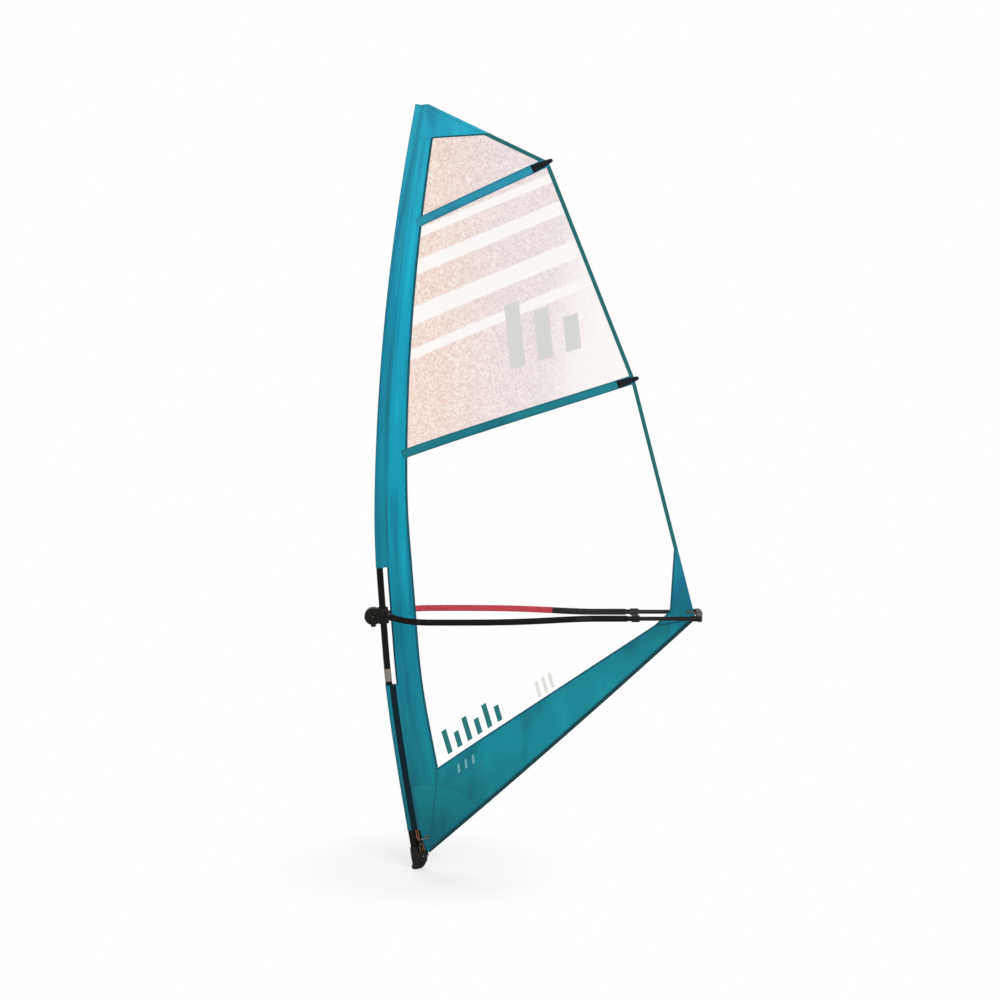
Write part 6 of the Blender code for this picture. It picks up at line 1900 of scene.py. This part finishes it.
def dress_solids() -> None:
    """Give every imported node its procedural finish, by the longest start that fits its name."""
    starts = {start: family.value[0] for family in Family for start in family.value[1:]}
    for name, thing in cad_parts.items():
        start = max(filter(name.startswith, starts), key=len, default=None)
        if start is None:
            continue
        for slot in thing.material_slots:
            slot.material = starts[start].material()
        LOG.info("%s: %s", name, starts[start].name)


# Camera, light and stage


@dataclass(frozen=True)
class Studio:
    """A long lens a little above the boom, soft light, white floor and background."""

    target: Triple = (0.402, 0.0, 1.814)
    distance: float = 16.0
    elevation: float = math.radians(8.5)
    lens: float = 120.0
    sensor: float = 36.0
    sees_to: float = 200.0
    sun_spread: float = math.radians(35)
    sky: float = 0.58
    floor_colour: Colour = (0.94, 0.94, 0.94, 1.0)
    pool: Point = (0.20, 0.90)
    floor_gap: float = 0.0005
    floor_reach: float = 40.0
    floor_glow: float = 0.55

    def camera(self) -> None:
        """Look along +Y, slightly down, from the rig's port side."""
        data = bpy.data.cameras.new("camera")
        data.lens = self.lens
        data.sensor_width = self.sensor
        data.clip_end = self.sees_to
        eye = placed("camera", data)
        eye.location = (self.target[0], -self.distance * math.cos(self.elevation),
                        self.target[2] + self.distance * math.sin(self.elevation))
        eye.rotation_euler = (math.pi / 2 - self.elevation, 0.0, 0.0)
        bpy.context.scene.camera = eye

    def sun(self, name: str, toward: Sequence[float], strength: float) -> None:
        """A broad soft sun that shines along a direction."""
        data = bpy.data.lights.new(name, "SUN")
        data.energy = strength
        data.angle = self.sun_spread
        away = -np.array(toward)
        flat = math.hypot(away[0], away[1])
        turn = (math.atan2(flat, away[2]), 0.0, math.atan2(away[0], -away[1]))
        placed(name, data).rotation_euler = turn

    def seen_white(self, graph: Graph) -> Signal:
        """1 for rays that should meet a white background: from the camera, gloss or glass."""
        rays = graph.node("ShaderNodeLightPath")
        return reduce(Signal.most, graph.outputs(rays, "Is Camera Ray", "Is Glossy Ray",
                                                 "Is Transmission Ray"))

    def world(self) -> None:
        """Even sky light, and white wherever the background is seen."""
        world = bpy.data.worlds.new("world")
        bpy.context.scene.world = world
        graph = Graph(world)
        white = self.seen_white(graph)
        shader = graph.signal("ShaderNodeBackground", None,
                              {"Color": (1.0, 1.0, 1.0, 1.0),
                               "Strength": white * (1.0 - self.sky) + self.sky})
        graph.closed("World", shader)

    def floor(self) -> None:
        """A pale floor that keeps a soft shadow near the foot and turns white further out."""
        graph = Graph(bpy.data.materials.new("floor_finish"))
        x, y, _, _ = graph.place()
        reach = graph.math("SQRT", x * x + y * y)
        plain = graph.signal("ShaderNodeBsdfDiffuse", None, {"Color": self.floor_colour})
        bright = graph.signal("ShaderNodeEmission", None, {"Strength": 1.0})
        share = self.seen_white(graph) * (reach.rise(*self.pool) * (1.0 - self.floor_glow)
                                          + self.floor_glow)
        both = graph.signal("ShaderNodeMixShader", None, {0: share, 1: plain, 2: bright})
        low, far = PACKED_BOX[0][2] - self.floor_gap, self.floor_reach
        mesh = bpy.data.meshes.new("floor")
        mesh.from_pydata([(-far, -far, low), (far, -far, low), (far, far, low), (-far, far, low)], [],
                         [(0, 1, 2, 3)])
        mesh.materials.append(graph.closed("Material", both))
        placed("floor", mesh)

    def make(self) -> None:
        """Set the stage."""
        self.camera()
        self.world()
        self.floor()
        self.sun("key", (-0.35, 0.78, -0.52), 1.25)
        self.sun("back", (0.30, -0.75, -0.60), 0.70)
        bpy.context.scene.view_settings.view_transform = "Standard"


def main() -> None:
    """Build the rig's looks in order."""
    logging.basicConfig(level=logging.INFO, format="%(name)s %(message)s")
    Studio().make()
    dress_solids()
    Sail().make()
    JointTape().make()
    FootFlap().make()
    BoomPadding().make()
    Lines().make()


if __name__ == "__main__":
    main()
